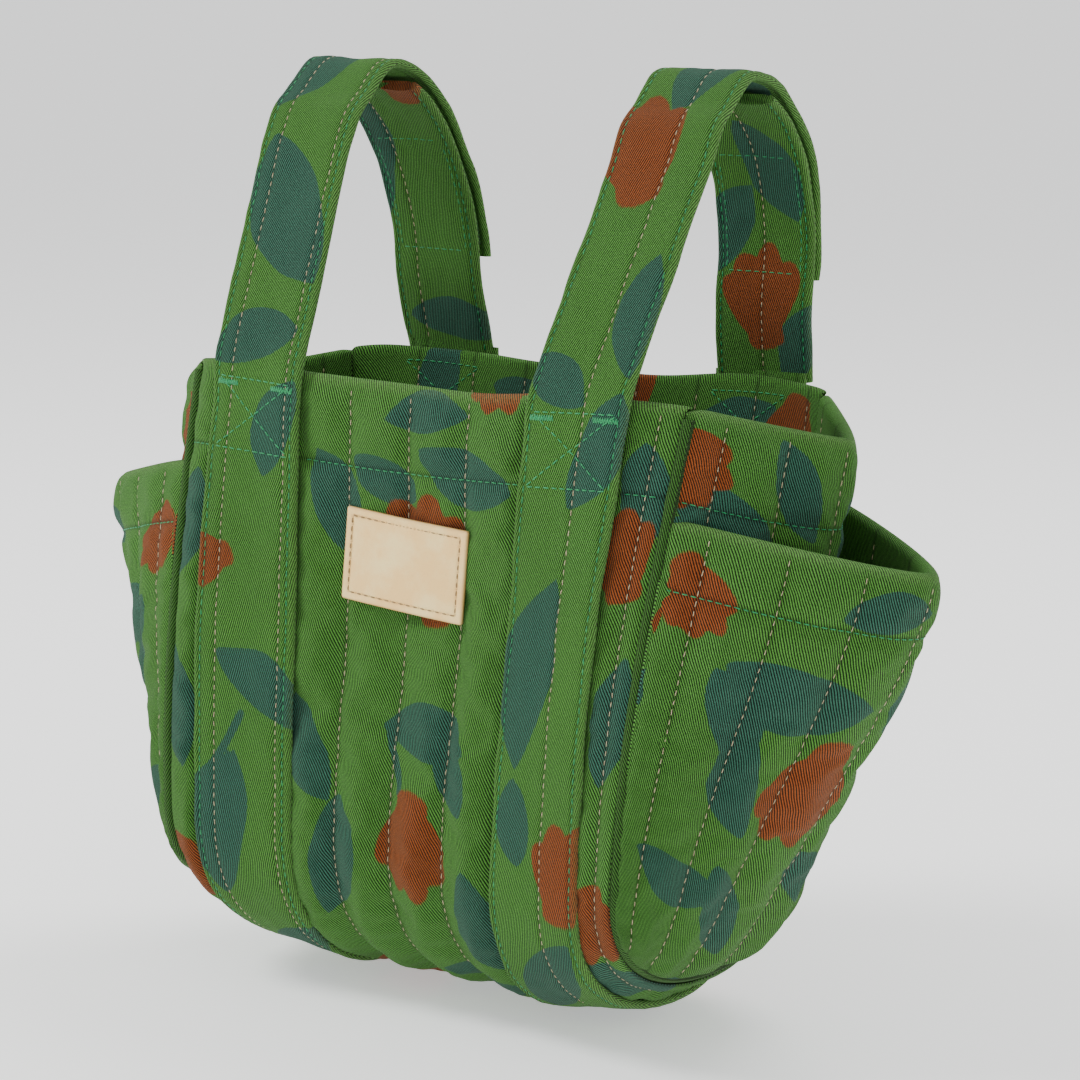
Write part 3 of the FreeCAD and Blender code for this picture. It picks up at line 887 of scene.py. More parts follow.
def wrap_quilt():
    """Front, base and back in one quilted panel, folded over and hemmed at both rims."""
    columns = np.unique(np.round(np.concatenate([
        np.arange(WRAP_LINES[0], SEAM_SPREAD, CHANNEL / 9), [SEAM_SPREAD, -SEAM_SPREAD]]), 3))
    columns = columns[np.abs(columns) <= SEAM_SPREAD]
    u = columns / SEAM_SPREAD
    outer_runs = np.linspace(0, WRAP_LENGTH, int(WRAP_LENGTH / QUILT_STEP))

    def rim(edge, inward):
        top = wrap_point(u, s_at(edge))
        out = unit(top - wrap_point(u, s_at(edge), RIM_ROLL))
        up = unit(top - wrap_point(u, s_at(edge + 3 * inward)))
        return folded_rim(
            HEM, lambda d: wrap_point(u, s_at(edge + d * inward), 2 * RIM_ROLL), top, out, up, RIM_ROLL
        )

    front, front_runs = rim(0, 1)
    back, back_runs = rim(WRAP_LENGTH, -1)
    grid = np.array([*front, *(wrap_point(u, s_at(r)) for r in outer_runs), *back[::-1]])
    row_runs = np.concatenate([front_runs, outer_runs, WRAP_LENGTH - back_runs[::-1]])
    across, runs = pair(columns, row_runs[:, None])
    normal, flip = facing(grid, [0, -1, 0], at=(len(front) + 20, len(u) // 2))
    outer = (runs >= 0) & (runs <= WRAP_LENGTH)
    depth = np.minimum(runs, WRAP_LENGTH - runs)
    swell = 1.6 + 2.0 * np.clip((depth - 60) / 150, 0, 1)
    lift, puff, groove = quilted_lift(across, runs, depth, WRAP_LINES, swell, 0.35, 0.7, (12, 13))
    hem = 1 - bell(depth - HEM, 3.0)
    from_strap = np.abs(np.abs(across / SEAM_SPREAD) - STRAP_U) * SEAM_SPREAD
    under_strap = from_strap < STRAP_WIDTH / 2 - 0.5
    seam_gap = SEAM_SPREAD - np.abs(across)
    lift *= hem * np.where(under_strap, 0.15, 1.0) * (1 - np.exp(-np.maximum(depth, 0) / 6))
    lift -= 2.2 * bell(seam_gap, 2.2)
    lift -= 1.8 * bell(from_strap - STRAP_WIDTH / 2, 2.6) * hem * np.clip(depth / 30, 0, 1)
    lift += 0.8 * waves(grid, 60, 11) * puff * (depth > 8)
    grid = grid + normal * np.where(outer, lift, 0)[..., None]
    rim_wave = waves(np.stack([across, np.sign(runs - WRAP_LENGTH / 2) * 40], -1), 70, 17)
    grid[..., 2] += 1.3 * rim_wave * np.exp(-np.abs(depth) / 18) * (1 - bell(seam_gap, 12))
    obj = open_sheet("body_quilt", grid, columns, row_runs, flip)
    pins = np.where((depth < 3) & outer, 0.6, 0)
    pins[(groove < 0.2) | under_strap | (seam_gap < 4) | ~outer | (np.abs(depth - HEM) < 1.7)] = 1
    relax(obj, pins, 2.5, 0.035)
    finish_cloth(obj, 1.0)
    seams = [*WRAP_LINES, -SEAM_SPREAD, SEAM_SPREAD]
    mark_cloth(obj, seams, [HEM, WRAP_LENGTH - HEM], [-2, WRAP_LENGTH + 2])
    return obj, tree_of(obj)


def gusset_quilt(name, form, side, swell, seed, covered):
    """A side panel or pocket: quilted, folded over at its rim, caught in the seam all round."""
    half, hem = form.half, form.hem
    count = int(half / (CHANNEL / 9))
    offsets = np.arange(-count, count + 1) * CHANNEL / 9
    offsets = np.concatenate([[-half], offsets[np.abs(offsets) < half - 1.2], [half]])
    w = form.w_at(offsets)
    t_rows = form.t_at(np.linspace(0, form.height, int(form.height / QUILT_STEP)))
    outer = np.array([form.points(side, w, t) for t in t_rows])
    outer_runs = np.interp(t_rows, DOWN, form.drop)
    normal, flip = facing(outer, [side, 0, 0], at=(5, len(w) // 2))
    up = unit(outer[0] - outer[2])
    roll = RIM_ROLL * np.clip(np.minimum(offsets + half, half - offsets) / 6, 0.25, 1)[:, None]

    def inner_row(d):
        nearest = int(np.argmin(np.abs(outer_runs - d)))
        return form.points(side, w, form.t_at(d)) - normal[nearest] * 2 * roll

    rim_rows, rim_runs = folded_rim(hem, inner_row, outer[0], normal[0], up, roll)
    across, depth = pair(offsets, outer_runs[:, None])
    lift, _, groove = quilted_lift(
        across, depth, depth, form.lines, swell, 0.3, 0.6, (seed + 5, seed + 3)
    )
    seam_gap = np.minimum(half - np.abs(across), form.height - depth)
    lift *= (1 - bell(depth - hem, 2.6)) * (1 - np.exp(-depth / 6)) * (1 - bell(seam_gap, 7))
    lift -= 1.2 * bell(seam_gap, 2.2) + 0.7 * bell(depth - hem, 1.6)
    lift += 1.6 * waves(outer, 75, seed) * (1 - bell(seam_gap, 18))
    # the pocket lies over the rest, which stays flat
    lift *= np.clip(1 - (depth - covered) / 20, 0.1, 1)
    grid = np.concatenate([np.array(rim_rows), outer + normal * lift[..., None]])
    obj = open_sheet(name, grid, offsets, np.concatenate([rim_runs, outer_runs]), flip)
    body = np.where(groove < 0.2, 0.9, 0)
    body[(seam_gap < 3.5) | (np.abs(depth - hem) < 1.4) | (depth < 3) | (depth > covered + 8)] = 1
    relax(obj, np.concatenate([np.ones((len(rim_rows), len(w))), body]), 2.0, 0.04)
    finish_cloth(obj, 1.0)
    mark_cloth(obj, [*form.lines, -half, half], [hem], [-2])
    return obj, tree_of(obj)


def inner_seam(line, outs, inside):
    """A line of stitching with the directions it is seen from, or the same on the inner side."""
    return (line - outs * 2 * RIM_ROLL, -outs) if inside else (line, outs)


def wrap_seam(x, runs, inside=False):
    """A line of stitching on the wrap panel."""
    x, runs = pair(x, runs)
    line = wrap_point(x / SEAM_SPREAD, s_at(runs))
    return inner_seam(line, unit(wrap_point(x / SEAM_SPREAD, s_at(runs), -1) - line), inside)


def form_seam(form, side, across, depth, inside=False):
    """A line of stitching on a side panel or pocket."""
    w, t = pair(form.w_at(across), form.t_at(depth))
    step = 0.004
    du = form.points(side, np.minimum(w + step, 1), t) - form.points(side, np.maximum(w - step, -1), t)
    dv = form.points(side, w, np.minimum(t + step, 1)) - form.points(side, w, np.maximum(t - step, 0))
    outs = unit(np.cross(du, dv))
    outs = outs * np.where(outs[:, :1] * side < 0, -1, 1)
    return inner_seam(form.points(side, w, t), outs, inside)


# ---------------------------------------------------------------- straps

HALF = STRAP_WIDTH / 2
EDGE_RIB = HALF - STRAP_STITCH
EDGE = 1.9  # width of a strap's rounded edge
CUT_HEIGHT = -34  # the strap's two visual pieces meet here, well inside the riser


def strap_mesh(name, rows, quilt_at, seed, motifs, down=0.0):
    """A closed padded strap swept along rows of centres, grooved under its stitch lines."""
    ease = (1 - np.cos(np.linspace(0, math.pi / 2, 6))) * EDGE
    a = np.concatenate([-HALF + ease, np.linspace(-HALF + 2.5, HALF - 2.5, 42), HALF - ease[::-1]])
    edge = np.clip((HALF - np.abs(a)) / EDGE, 0, 1)
    round_edge = np.sqrt(np.clip(1 - (1 - edge) ** 2, 0, 1))
    height = STRAP_THICK / 2 * round_edge
    for at, dip, wide in ((-EDGE_RIB, 0.55, 0.8), (EDGE_RIB, 0.55, 0.8), *((q, 0.5, 1.1) for q in quilt_at)):
        height = height - dip * bell(a - at, wide) * round_edge
    inner = np.clip((HALF - np.abs(a)) / HALF, 0, 1)
    height = height + 0.35 * np.sin(np.clip(inner * 1.2, 0, 1) * math.pi) * round_edge
    arc = length_table(np.stack([a, height], axis=1))
    # out over the outer side and back over the inner side
    loop_a, loop_h, loop_arc = (
        np.concatenate([v, sign * v[::-1][1:-1]]) for v, sign in ((a, 1), (height, -1), (arc, 1))
    )
    rings = []
    for c, x_dir, n_dir, r in zip(*rows):
        here = np.stack([loop_a, np.full_like(loop_a, r)], axis=1)
        ripple = waves(here, 9, seed) * 0.16 + waves(here, 34, seed + 1) * 0.3
        edge_wave = waves(np.array([[r, 0.0]]), 30, seed + 2)[0] * 0.35
        push = np.where(loop_h > 0, ripple, ripple * 0.5)
        offset = loop_h + push * np.minimum(1, np.abs(loop_h) / 1.2)
        spread = loop_a + edge_wave * np.sign(loop_a) * (np.abs(loop_a) > HALF - 3)
        rings.append(c + np.outer(spread, x_dir) + np.outer(offset, n_dir))
    obj = tube(name, rings, loop_arc - arc[-1] / 2, rows[3])
    across = np.tile(loop_a, len(rings))
    put_attribute(obj, "wear_and_hole_shade", near(np.abs(across), [HALF], 1.3) * 0.9)
    # painted shade in the grooves under the stitch lines
    put_attribute(obj, "groove_shade", near(across, [-EDGE_RIB, EDGE_RIB, *quilt_at], 0.8) * 0.8)
    print_cloth(obj, motifs, down)
    return dress(obj, STRAP_TWILL)


def band_rows(side):
    """Rows of the sewn strap from the back rim, under the base, to the front rim."""
    runs = np.linspace(WRAP_LENGTH, 0, int(WRAP_LENGTH / 2.4))
    u, s = side * STRAP_U, s_at(runs)
    half_u = HALF / SEAM_SPREAD
    out = -0.2 - STRAP_THICK / 2
    centres = wrap_point(u, s, out)
    xs = unit(wrap_point(u + half_u, s, out) - wrap_point(u - half_u, s, out))
    ns = unit(centres - wrap_point(u, s, 0))
    # a little of the strap reaches up inside the back tab, so that no gap shows at the rim
    rises = (5.0, 2.5)
    extra = [wrap_point(u, 1.0, out + 0.4) + np.array([side * 0.4, 0, rise]) for rise in rises]
    runs = np.concatenate([[WRAP_LENGTH + rise for rise in rises], runs])
    first = [0, 0, *range(len(s))]
    return np.vstack([extra, centres]), xs[first], ns[first], WRAP_LENGTH - runs


def centre_x(side, rim_spread, rim_z, z):
    """The strap's middle, which drifts outward between the rim and the handlebar."""
    share = np.clip((z - rim_z) / -rim_z, 0, 1)
    return side * (rim_spread + (LOOP_SPREAD - rim_spread) * share)


def free_rows(line, side, rim_spread, rim_z, start_run):
    rows = resampled(line, 2.0)
    flat = np.zeros(len(rows))
    centres = np.column_stack([centre_x(side, rim_spread, rim_z, rows[:, 1]), rows])
    xs = np.column_stack([flat + 1, flat, flat])
    return centres, xs, np.column_stack([flat, line_normals(rows)]), start_run + length_table(rows)


def ease_join(rows, at, reach):
    """Smooths the rows of a swept strap either side of row number at."""
    for values in rows[:3]:
        for _ in range(12):
            part = values[at - reach : at + reach].copy()
            part[1:-1] = (part[:-2] + 2 * part[1:-1] + part[2:]) / 4
            values[at - reach : at + reach] = part
    rows[2][:] = unit(rows[2])


def bend(piece, hand, hinge):
    """Bakes a piece's placement into its mesh; the hinge at the front rim, the crest or the back rim is
    looked up but not used.
    """
    front, back = -RIM_DROP["front"], -RIM_DROP["back"]
    body_a, body_b, *ends = {
        "front": ("bag", f"{hand}_strap", (0, -60, front + 0.5), (0, -60, front + 14)),
        "crest": (f"{hand}_strap", f"{hand}_flap", (0, -4, 33), (0, 16, 33)),
        "back": ("bag", f"{hand}_tab", (0, 66, back + 0.5), (0, 66, back + 14)),
    }[hinge]
    start, end = (tuple(v * MM for v in p) for p in ends)
    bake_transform(piece)
    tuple(start)
    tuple(end)


def strap_seam(rows, across, lift=STRAP_THICK / 2):
    """A line along a strap, stitched through where the needle meets the nearest cloth."""
    centres, xs, ns, _ = rows
    return centres + xs * across + ns * lift, None


def build_strap(hand, side, quilt_at):
    """One carrying strap: sewn band and lower riser, then upper riser, crest and closing flap."""
    front = front_line()
    rim_z = front[0][1]
    cut = int(np.argmax(front[:, 1] > CUT_HEIGHT))
    k = (CUT_HEIGHT - front[cut - 1, 1]) / (front[cut, 1] - front[cut - 1, 1])
    seam = front[cut - 1] + (front[cut] - front[cut - 1]) * k
    band = band_rows(side)
    leg = free_rows(np.vstack([front[:cut], [seam]]), side, STRAP_SPREAD, rim_z, band[3][-1] + 2.4)
    low = [np.concatenate([a, b]) for a, b in zip(band, leg)]
    ease_join(low, len(band[3]), 7)
    high = free_rows(np.vstack([[seam], front[cut:]]), side, STRAP_SPREAD, rim_z, low[3][-1])
    parts = (
        ("lower", "front", low, ("strap_band", "strap_riser")),
        ("upper", "crest", high, ("closing_flap",)),
    )
    trees = {}
    for part, hinge, rows, nodes in parts:
        obj = strap_mesh(f"{hand}_strap_{part}", rows, quilt_at, 20 + side, STRAP_PRINT[hand], WRAP_LENGTH)
        trees[part] = tree_of(obj)
        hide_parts(*(f"{hand}_{node}" for node in nodes))
        bend(obj, hand, hinge)
    for part, hinge, rows, _ in parts:
        for kind, sewn, places in (
            ("topstitch", TOPSTITCH, (-EDGE_RIB, EDGE_RIB)), ("quilting", STRAP_QUILTING, quilt_at)
        ):
            lines = [strap_seam(rows, at) for at in places]
            bend(sew(f"{hand}_strap_{part}_{kind}", trees[part], lines, sewn), hand, hinge)
    return trees["lower"]


def build_tab(hand, side, quilt_at):
    """The back tab that the flap closes on."""
    line = back_line()
    rows = free_rows(line, side, STRAP_SPREAD + 2, line[0][1], 0.0)
    obj = strap_mesh(f"{hand}_tab", rows, quilt_at, 40 + side, TAB_PRINT[hand])
    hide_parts(f"{hand}_back_tab")
    tree = tree_of(obj)
    centres, xs, ns, _ = rows
    edges = [strap_seam(rows, s * EDGE_RIB, lift * STRAP_THICK / 2) for s in (-1, 1) for lift in (-1, 1)]
    # the stitching that holds the loop patch shows as a box on the tab's inner side
    held = np.nonzero((centres[:, 2] > -44) & (centres[:, 2] < 2))[0]
    low, high = held[0], held[-1]
    across = np.linspace(-16, 16, 14)[:, None]
    edges += [(centres[k] + xs[k] * across + ns[k] * STRAP_THICK / 2, None) for k in (low, high)]
    edges += [(strap_seam(rows, s)[0][low:high], None) for s in (-16, 16)]
    for piece in (
        obj,
        sew(f"{hand}_tab_topstitch", tree, edges, TOPSTITCH),
        sew(f"{hand}_tab_quilting", tree, [strap_seam(rows, at) for at in quilt_at], STRAP_QUILTING),
    ):
        bend(piece, hand, "back")


def build_patch(hand, side, kind, body, shift):
    """A hook or loop patch with eased edges, following the closure's curve."""
    low, high = (np.array(v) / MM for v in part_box(f"{hand}_{kind}_patch"))
    line = front_line()
    rim_z = line[0][1]
    line = line[(line[:, 0] > 20) & (line[:, 1] > low[2]) & (line[:, 1] < high[2])]
    rows = resampled(line + line_normals(line) * shift, 1.5)
    a = np.linspace(-18, 18, 25)
    cols_a = np.concatenate([a, a[::-1]])
    rings = []
    for i, ((y, z), (ny, nz)) in enumerate(zip(rows, line_normals(rows))):
        edge = np.clip(np.minimum(18 - np.abs(a), min(i, len(rows) - 1 - i) * 1.5) / 1.2, 0, 1)
        bristle = waves(np.stack([a, np.full_like(a, i * 1.5)], 1), 3.0, 60) * 0.12
        face = 0.4 * (0.25 + 0.75 * edge) + bristle * edge
        h = np.concatenate([face, np.full_like(a, -0.4)])
        x = centre_x(side, STRAP_SPREAD, rim_z, z) + cols_a
        rings.append(np.column_stack([x, y + ny * h, z + nz * h]))
    obj = tube(f"{hand}_{kind}_tape", rings, cols_a, np.arange(len(rows)) * 1.5)
    dress(obj, TAPES[kind], f"{hand}_{body}")
    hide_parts(f"{hand}_{kind}_patch")


# ---------------------------------------------------------------- linings and seams


def lining_sheet(name, rows, node, toward=None):
    """A sheet of lining cloth over the quilting's inner side, facing into the bag."""
    grid = np.array(rows)
    count, cols = grid.shape[:2]
    normal, flip = facing(grid, unit(np.array([0, 0, -150.0]) - grid) if toward is None else toward)
    grid = grid + normal * (0.9 * waves(grid, 45, 71))[..., None]
    obj = open_sheet(name, grid, np.arange(cols) * 4.0, np.arange(count) * 4.0, flip)
    area = sum(f.area for f in obj.data.polygons)
    finish_cloth(obj, 0.6)
    print_cloth(obj, scattered(4 * cols, 4 * count, len(name)))
    dress(obj, TWILL, "bag")
    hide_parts(node)


def scattered(width, height, seed):
    """Leaves and blossoms spread evenly over a piece of cloth."""
    draw = np.random.default_rng(seed)
    found = {"blossom": [], "leaf": []}
    for i, x in enumerate(np.arange(18, width, 38)):
        for j, y in enumerate(np.arange(16, height, 44)):
            kind, sizes = "leaf", ((38, 50), (16, 20), (-4, 4))
            if (i + 2 * j) % 4 == 0:
                kind, sizes = "blossom", ((34, 44),)
            px, py = x + draw.uniform(-7, 7), y + draw.uniform(-8, 8) + 20 * (i % 2)
            found[kind].append((px, py, draw.uniform(0, 360), *(draw.uniform(*size) for size in sizes)))
    return found


def build_linings():
    u = np.linspace(-0.965, 0.965, 54)
    runs = np.arange(HEM - 3, WRAP_LENGTH - HEM + 3, 4.0)
    lining_sheet("body_lining", [wrap_point(u, s_at(r), 4.5) for r in runs], "body_wrap_lining")
    w = np.linspace(-0.985, 0.985, 50)
    for hand, side in SIDES:
        for kind, stand, top in (("side", -4.4, 0.1), ("pocket", 1.0, 0.11)):
            rows = [FORMS[kind].points(side, w, t, stand) for t in np.linspace(top, 0.985, 50)]
            lining_sheet(f"{hand}_{kind}_lining_cloth", rows, f"{hand}_{kind}_lining", [-side, 0, 0])


def build_seam(hand, side):
    """The turned seam that joins the wrap panel to a side panel and a pocket, as a thin roll."""
    s = s_at(np.arange(2.0, WRAP_LENGTH - 2, 3.0))
    line = seam_point(s) * np.array([side, 1, 1])
    inward = unit(wrap_point(np.ones_like(s), s, 1) * np.array([side, 1, 1]) - line)
    radius = 2.5
    centre = line + inward * 2.1 + np.array([side * 0.2, 0, 0])
    turns = np.arange(12) * 2 * math.pi / 12
    x_dir = np.array([side, 0, 0])
    grid = np.stack([centre + radius * (x_dir * math.cos(a) + inward * math.sin(a)) for a in turns], axis=1)
    obj = tube(f"{hand}_seam_roll", grid, turns * radius, np.arange(len(line)) * 3.0)
    # painted shade: the whole seam roll is darkened like a shaded crevice
    put_attribute(obj, "groove_shade", np.ones(grid.shape[0] * grid.shape[1]))
    print_cloth(obj, {})
    dress(obj, TWILL, "bag")


# ---------------------------------------------------------------- label and bar tacks


def build_label():
    """The leather label: eased corners, a sewn border, and blank."""
    low, high = (np.array(v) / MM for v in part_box("leather_label"))
    half_w, half_h, thick, corner = 27.5, 17.5, 1.6, 0.9
    border = 3  # distance of the stitching from the edge
    (c, s) = polar(4)  # the label hangs a little askew
    right, up = np.array([c, 0, -s]), np.array([s, 0, c])
    centre = (low + high) / 2
    centre[1] = high[1]

    x, z = np.meshgrid(np.linspace(-1, 1, 111) * half_w, np.linspace(-1, 1, 71) * half_h)
    dx, dz = np.abs(x) - (half_w - corner), np.abs(z) - (half_h - corner)
    in_corner = (dx > 0) & (dz > 0)
    pull = np.where(in_corner, np.maximum(dx, dz) / np.maximum(np.hypot(dx, dz), 1e-6), 1)
    x = np.where(in_corner, np.sign(x) * (half_w - corner + dx * pull), x)
    z = np.where(in_corner, np.sign(z) * (half_h - corner + dz * pull), z)
    from_x, from_z = half_w - np.abs(x), half_h - np.abs(z)
    edge = np.minimum(from_x, from_z)
    edge = np.where(in_corner, np.minimum(edge, corner - np.hypot(dx * pull, dz * pull)), edge)
    ease = np.clip(edge / 0.45, 0, 1)
    height = thick - 0.3 * (1 - np.sqrt(np.clip(1 - (1 - ease) ** 2, 0, 1)))
    seam = np.where(from_z > border - 0.1, np.abs(from_x - border), 99)
    seam = np.minimum(seam, np.where(from_x > border - 0.1, np.abs(from_z - border), 99))
    height -= 0.3 * bell(seam, 0.6)

    # a stitch and a hole every 3.2 mm along the border, each hole with painted shade
    dark = np.zeros_like(x)
    w, h = half_w - border, half_h - border
    corners = np.array([(-w, h), (w, h), (w, -h), (-w, -h)])
    stitches = []
    for a, b in zip(corners, np.roll(corners, -1, axis=0)):
        count = round(math.hypot(*(b - a)) / 3.2)
        for k in range(count):
            stitches.append([a + (b - a) * (k + share) / count for share in (0.06, 0.72)])
            hx, hz = a + (b - a) * (k + 0.89) / count
            spot = bell(np.hypot(x - hx, z - hz), 0.4)
            height = height - 0.5 * spot
            dark = np.maximum(dark, spot)
    dark = np.maximum(dark, bell(edge, 0.5) * 0.8)

    def bow(px, pz):
        return 0.8 * ((px / half_w) ** 2 + 0.4 * (pz / half_h) ** 2)

    def place(px, pz, py):
        flat = np.asarray(px)[..., None] * right + np.asarray(pz)[..., None] * up
        flat[..., 1] -= py
        return centre + flat

    warp = bow(x, z) + 0.25 * waves(np.stack([x, z], -1), 40, 91)
    front, back = place(x, z, height - warp), place(x, z, -warp)
    faces = grid_faces(*x.shape)
    offset = x.size
    faces += [[v + offset for v in f[::-1]] for f in faces]
    number = np.arange(offset).reshape(x.shape)
    ring = [*number[0], *number[1:, -1], *number[-1, -2::-1], *number[-2:0:-1, 0]]
    faces += [[p, q, q + offset, p + offset] for p, q in zip(ring, ring[1:] + ring[:1])]
    verts = np.concatenate([front.reshape(-1, 3), back.reshape(-1, 3)])
    obj = new_object("leather_label_front", verts, faces)
    face_outward(obj)
    # darker cut edges and back, and the painted shade of the stitch holes
    put_attribute(obj, "wear_and_hole_shade", np.concatenate([dark.ravel(), np.ones(offset)]))
    dress(obj, LEATHER, "bag")
    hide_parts("leather_label")
    out = np.array([0, -1.0, 0])
    found = [(*(place(*p, thick - 0.2 - bow(*p)) for p in ends), out) for ends in stitches]
    stitch_object("leather_label_stitching", found, LABEL_SEAM, "bag")


def build_tacks(end, trees):
    """Dense zigzag thread at the upper corners of each strap's box stitching."""
    s, out = (0.012, -1.0) if end == "front" else (0.988, 1.0)
    normal = np.array([0, out, 0])
    found = []
    for hand, side in SIDES:
        for edge in (-1, 1):
            for k in range(19):
                u = (side * STRAP_SPREAD + edge * 13 - 4.5 + k * 0.5) / SEAM_SPREAD
                p = wrap_point(u, s, -0.3 - STRAP_THICK)
                lean = 0.25 if k % 2 else -0.25
                ends = [
                    drop_on(trees[hand], p + np.array([lean * (dz - 1), 0, dz]), None)[0] for dz in (0, 2.3)
                ]
                found.append((*(spot + normal * TACK.lift for spot in ends), normal))
    obj = stitch_object(f"{end}_tack_thread", found, TACK, "bag")
    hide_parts(f"{end}_bar_tacks")


def box_stitches(trees):
    """The crossed box that holds each strap to the front and to the back, and its inside."""
    half, top = EDGE_RIB - 0.5, 3.5
    left_top, right_top, right_low, left_low = (-half, top), (half, top), (half, HEM), (-half, HEM)
    sides = ((left_low, right_low), (left_top, right_low), (right_top, left_low), (left_top, right_top))
    share = np.linspace(0, 1, 20)
    shown, inside = [], []
    for hand, side in SIDES:
        for front in (True, False):
            for (x0, r0), (x1, r1) in sides:
                x = side * STRAP_SPREAD + x0 + (x1 - x0) * share
                runs = r0 + (r1 - r0) * share
                runs = runs if front else WRAP_LENGTH - runs
                line, outs = wrap_seam(x, runs)
                shown += lay_stitches(trees[hand], [(line + outs * 3, outs)], BOX)
                inside += lay_stitches(WRAP_TREE, [wrap_seam(x, runs, True)], BOX_INSIDE)
    stitch_object("strap_box_stitching", shown, BOX, "bag")
    stitch_object("strap_box_stitching_inside", inside, BOX_INSIDE, "bag")


# ---------------------------------------------------------------- the print's layout

# each motif's place across and down the cloth, its angle and its sizes
WRAP_PRINT = {
    "leaf": [
        (24, 27, 18, 42, 17, 3), (-37, 44, 72, 38, 17, -3), (-14, 33, 25, 30, 13),
        (-42, 138, 65, 40, 15, 3), (12, 128, 8, 42, 17, -3), (27, 140, 60, 30, 13),
        (-32, 178, 100, 46, 18, -3), (43, 196, 75, 44, 17, 2), (30, 232, 20, 40, 16),
        (-38, 300, 60, 44, 17, 3), (-10, 345, 150, 46, 18, 3), (20, 400, 100, 42, 16, -2),
        (40, 452, 60, 36, 14), (-36, 468, 20, 42, 16, 2), (102, 30, 80, 36, 15), (103, 110, 95, 44, 14),
        (103, 225, 70, 44, 16), (-103, 60, 100, 40, 15), (-104, 130, 80, 44, 16),
        (102, 330, 100, 44, 16), (-30, -22, 20, 44, 16, 2), (82, -24, 150, 42, 16),
        (-84, -20, 60, 40, 16), (-22, WRAP_LENGTH + 24, 15, 46, 18, 3),
        (62, WRAP_LENGTH + 26, 160, 48, 18, -3), (-74, WRAP_LENGTH + 20, 100, 44, 16),
        (-102, 300, 80, 44, 16), (-101, 440, 100, 44, 16), (4, 8, 170, 34, 12, 2),
    ],
    "blossom": [
        (10, 74, 250, 50), (8, 158, 92, 40), (-20, 250, 140, 38), (34, 330, 40, 40), (0, 440, 200, 44),
        (99, 60, 250, 34), (100, 178, 85, 36), (-102, 190, 90, 34), (100, 430, 60, 34),
        (34, -20, 80, 34), (20, WRAP_LENGTH + 22, 250, 36), (96, WRAP_LENGTH + 18, 100, 34),
    ],
    "stem": [
        (-2, 141, 70, 26, 3),
    ],
    "sprig": [
        (10, 290, 210, 42), (-34, 392, 300, 40), (14, 500, 120, 38),
    ],
}
# down from the front rim: the sewn strap is above 0, and the free strap below
STRAP_PRINT = {
    "left": {
        "leaf": [
            (2, 66, 118, 64, 27, 4), (-4, 12, 18, 40, 17, 2), (12, -20, 70, 36, 16, 3),
            (8, -118, 145, 44, 16, -3), (-8, -172, 80, 56, 22, 4), (10, -232, 60, 46, 18, 3),
            (-8, -350, 100, 50, 18, -3), (8, -466, 60, 42, 16), (-8, 128, 60, 44, 18, 3),
            (-2, 224, 110, 44, 18),
        ],
        "stem": [
            (-6, -140, 60, 26, 3.4),
        ],
        "blossom": [
            (-12, -70, 200, 24), (0, -290, 40, 40), (4, 176, 100, 34),
        ],
        "sprig": [
            (4, -410, 250, 44),
        ],
    },
    "right": {
        "blossom": [
            (-6, 86, 110, 44), (14, -176, 85, 38), (4, -330, 60, 42), (-2, 186, 80, 36),
        ],
        "leaf": [
            (16, 34, 95, 44, 14, 3), (-10, 8, 150, 30, 13), (10, -16, 70, 42, 17, -3),
            (-6, -96, 80, 66, 20, 4), (-10, -150, 100, 30, 13), (2, -216, 60, 50, 20, 3),
            (-6, -270, 130, 48, 18), (0, -392, 80, 52, 19, -4), (6, 136, 70, 46, 18, 3),
            (2, 228, 100, 40, 16),
        ],
        "sprig": [
            (-4, -450, 230, 44),
        ],
    },
}
TAB_PRINT = {
    "left": {
        "leaf": [
            (8, 12, 172, 46, 14, -2), (-16, 84, 78, 54, 16, 3),
        ],
        "blossom": [
            (12, 120, 80, 34),
        ],
    },
    "right": {
        "blossom": [
            (2, 22, 100, 40),
        ],
        "leaf": [
            (-14, 58, 60, 40, 17, 3), (16, 14, 70, 34, 13), (6, 86, 110, 46, 18),
        ],
    },
}
# laid out from the fold, across negative towards the front
GUSSET_PRINTS = {
    "pocket": {
        "leaf": [
            (-36, 46, 8, 56, 20, 4), (-58, 62, 60, 40, 16, -3), (-44, 84, 75, 44, 17, 4),
            (-60, 128, 12, 46, 16, 3), (-30, 140, 60, 44, 17), (20, 40, 120, 46, 18),
            (60, 140, 100, 46, 18), (12, 130, 40, 40, 16), (-14, 14, 170, 34, 12, 2),
        ],
        "blossom": [
            (-14, 74, 95, 46), (-84, 14, 60, 30), (46, 84, 60, 42),
        ],
        "sprig": [
            (70, 30, 80, 40),
        ],
    },
    "side": {
        "blossom": [
            (-72, 12, 30, 34), (-26, 66, 100, 40), (56, 24, 60, 38),
        ],
        "leaf": [
            (-48, 30, 20, 46, 17, 3), (-20, 18, 60, 36, 14), (-62, 58, 80, 44, 16),
            (20, 30, 110, 48, 18, 3), (60, 74, 80, 46, 17), (16, 86, 40, 44, 16),
        ],
    },
}

# ---------------------------------------------------------------- build

WRAP, WRAP_TREE = wrap_quilt()
print_cloth(WRAP, WRAP_PRINT)
dress(WRAP, TWILL, "bag")
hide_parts("body_wrap_shell", "body_wrap_wadding")

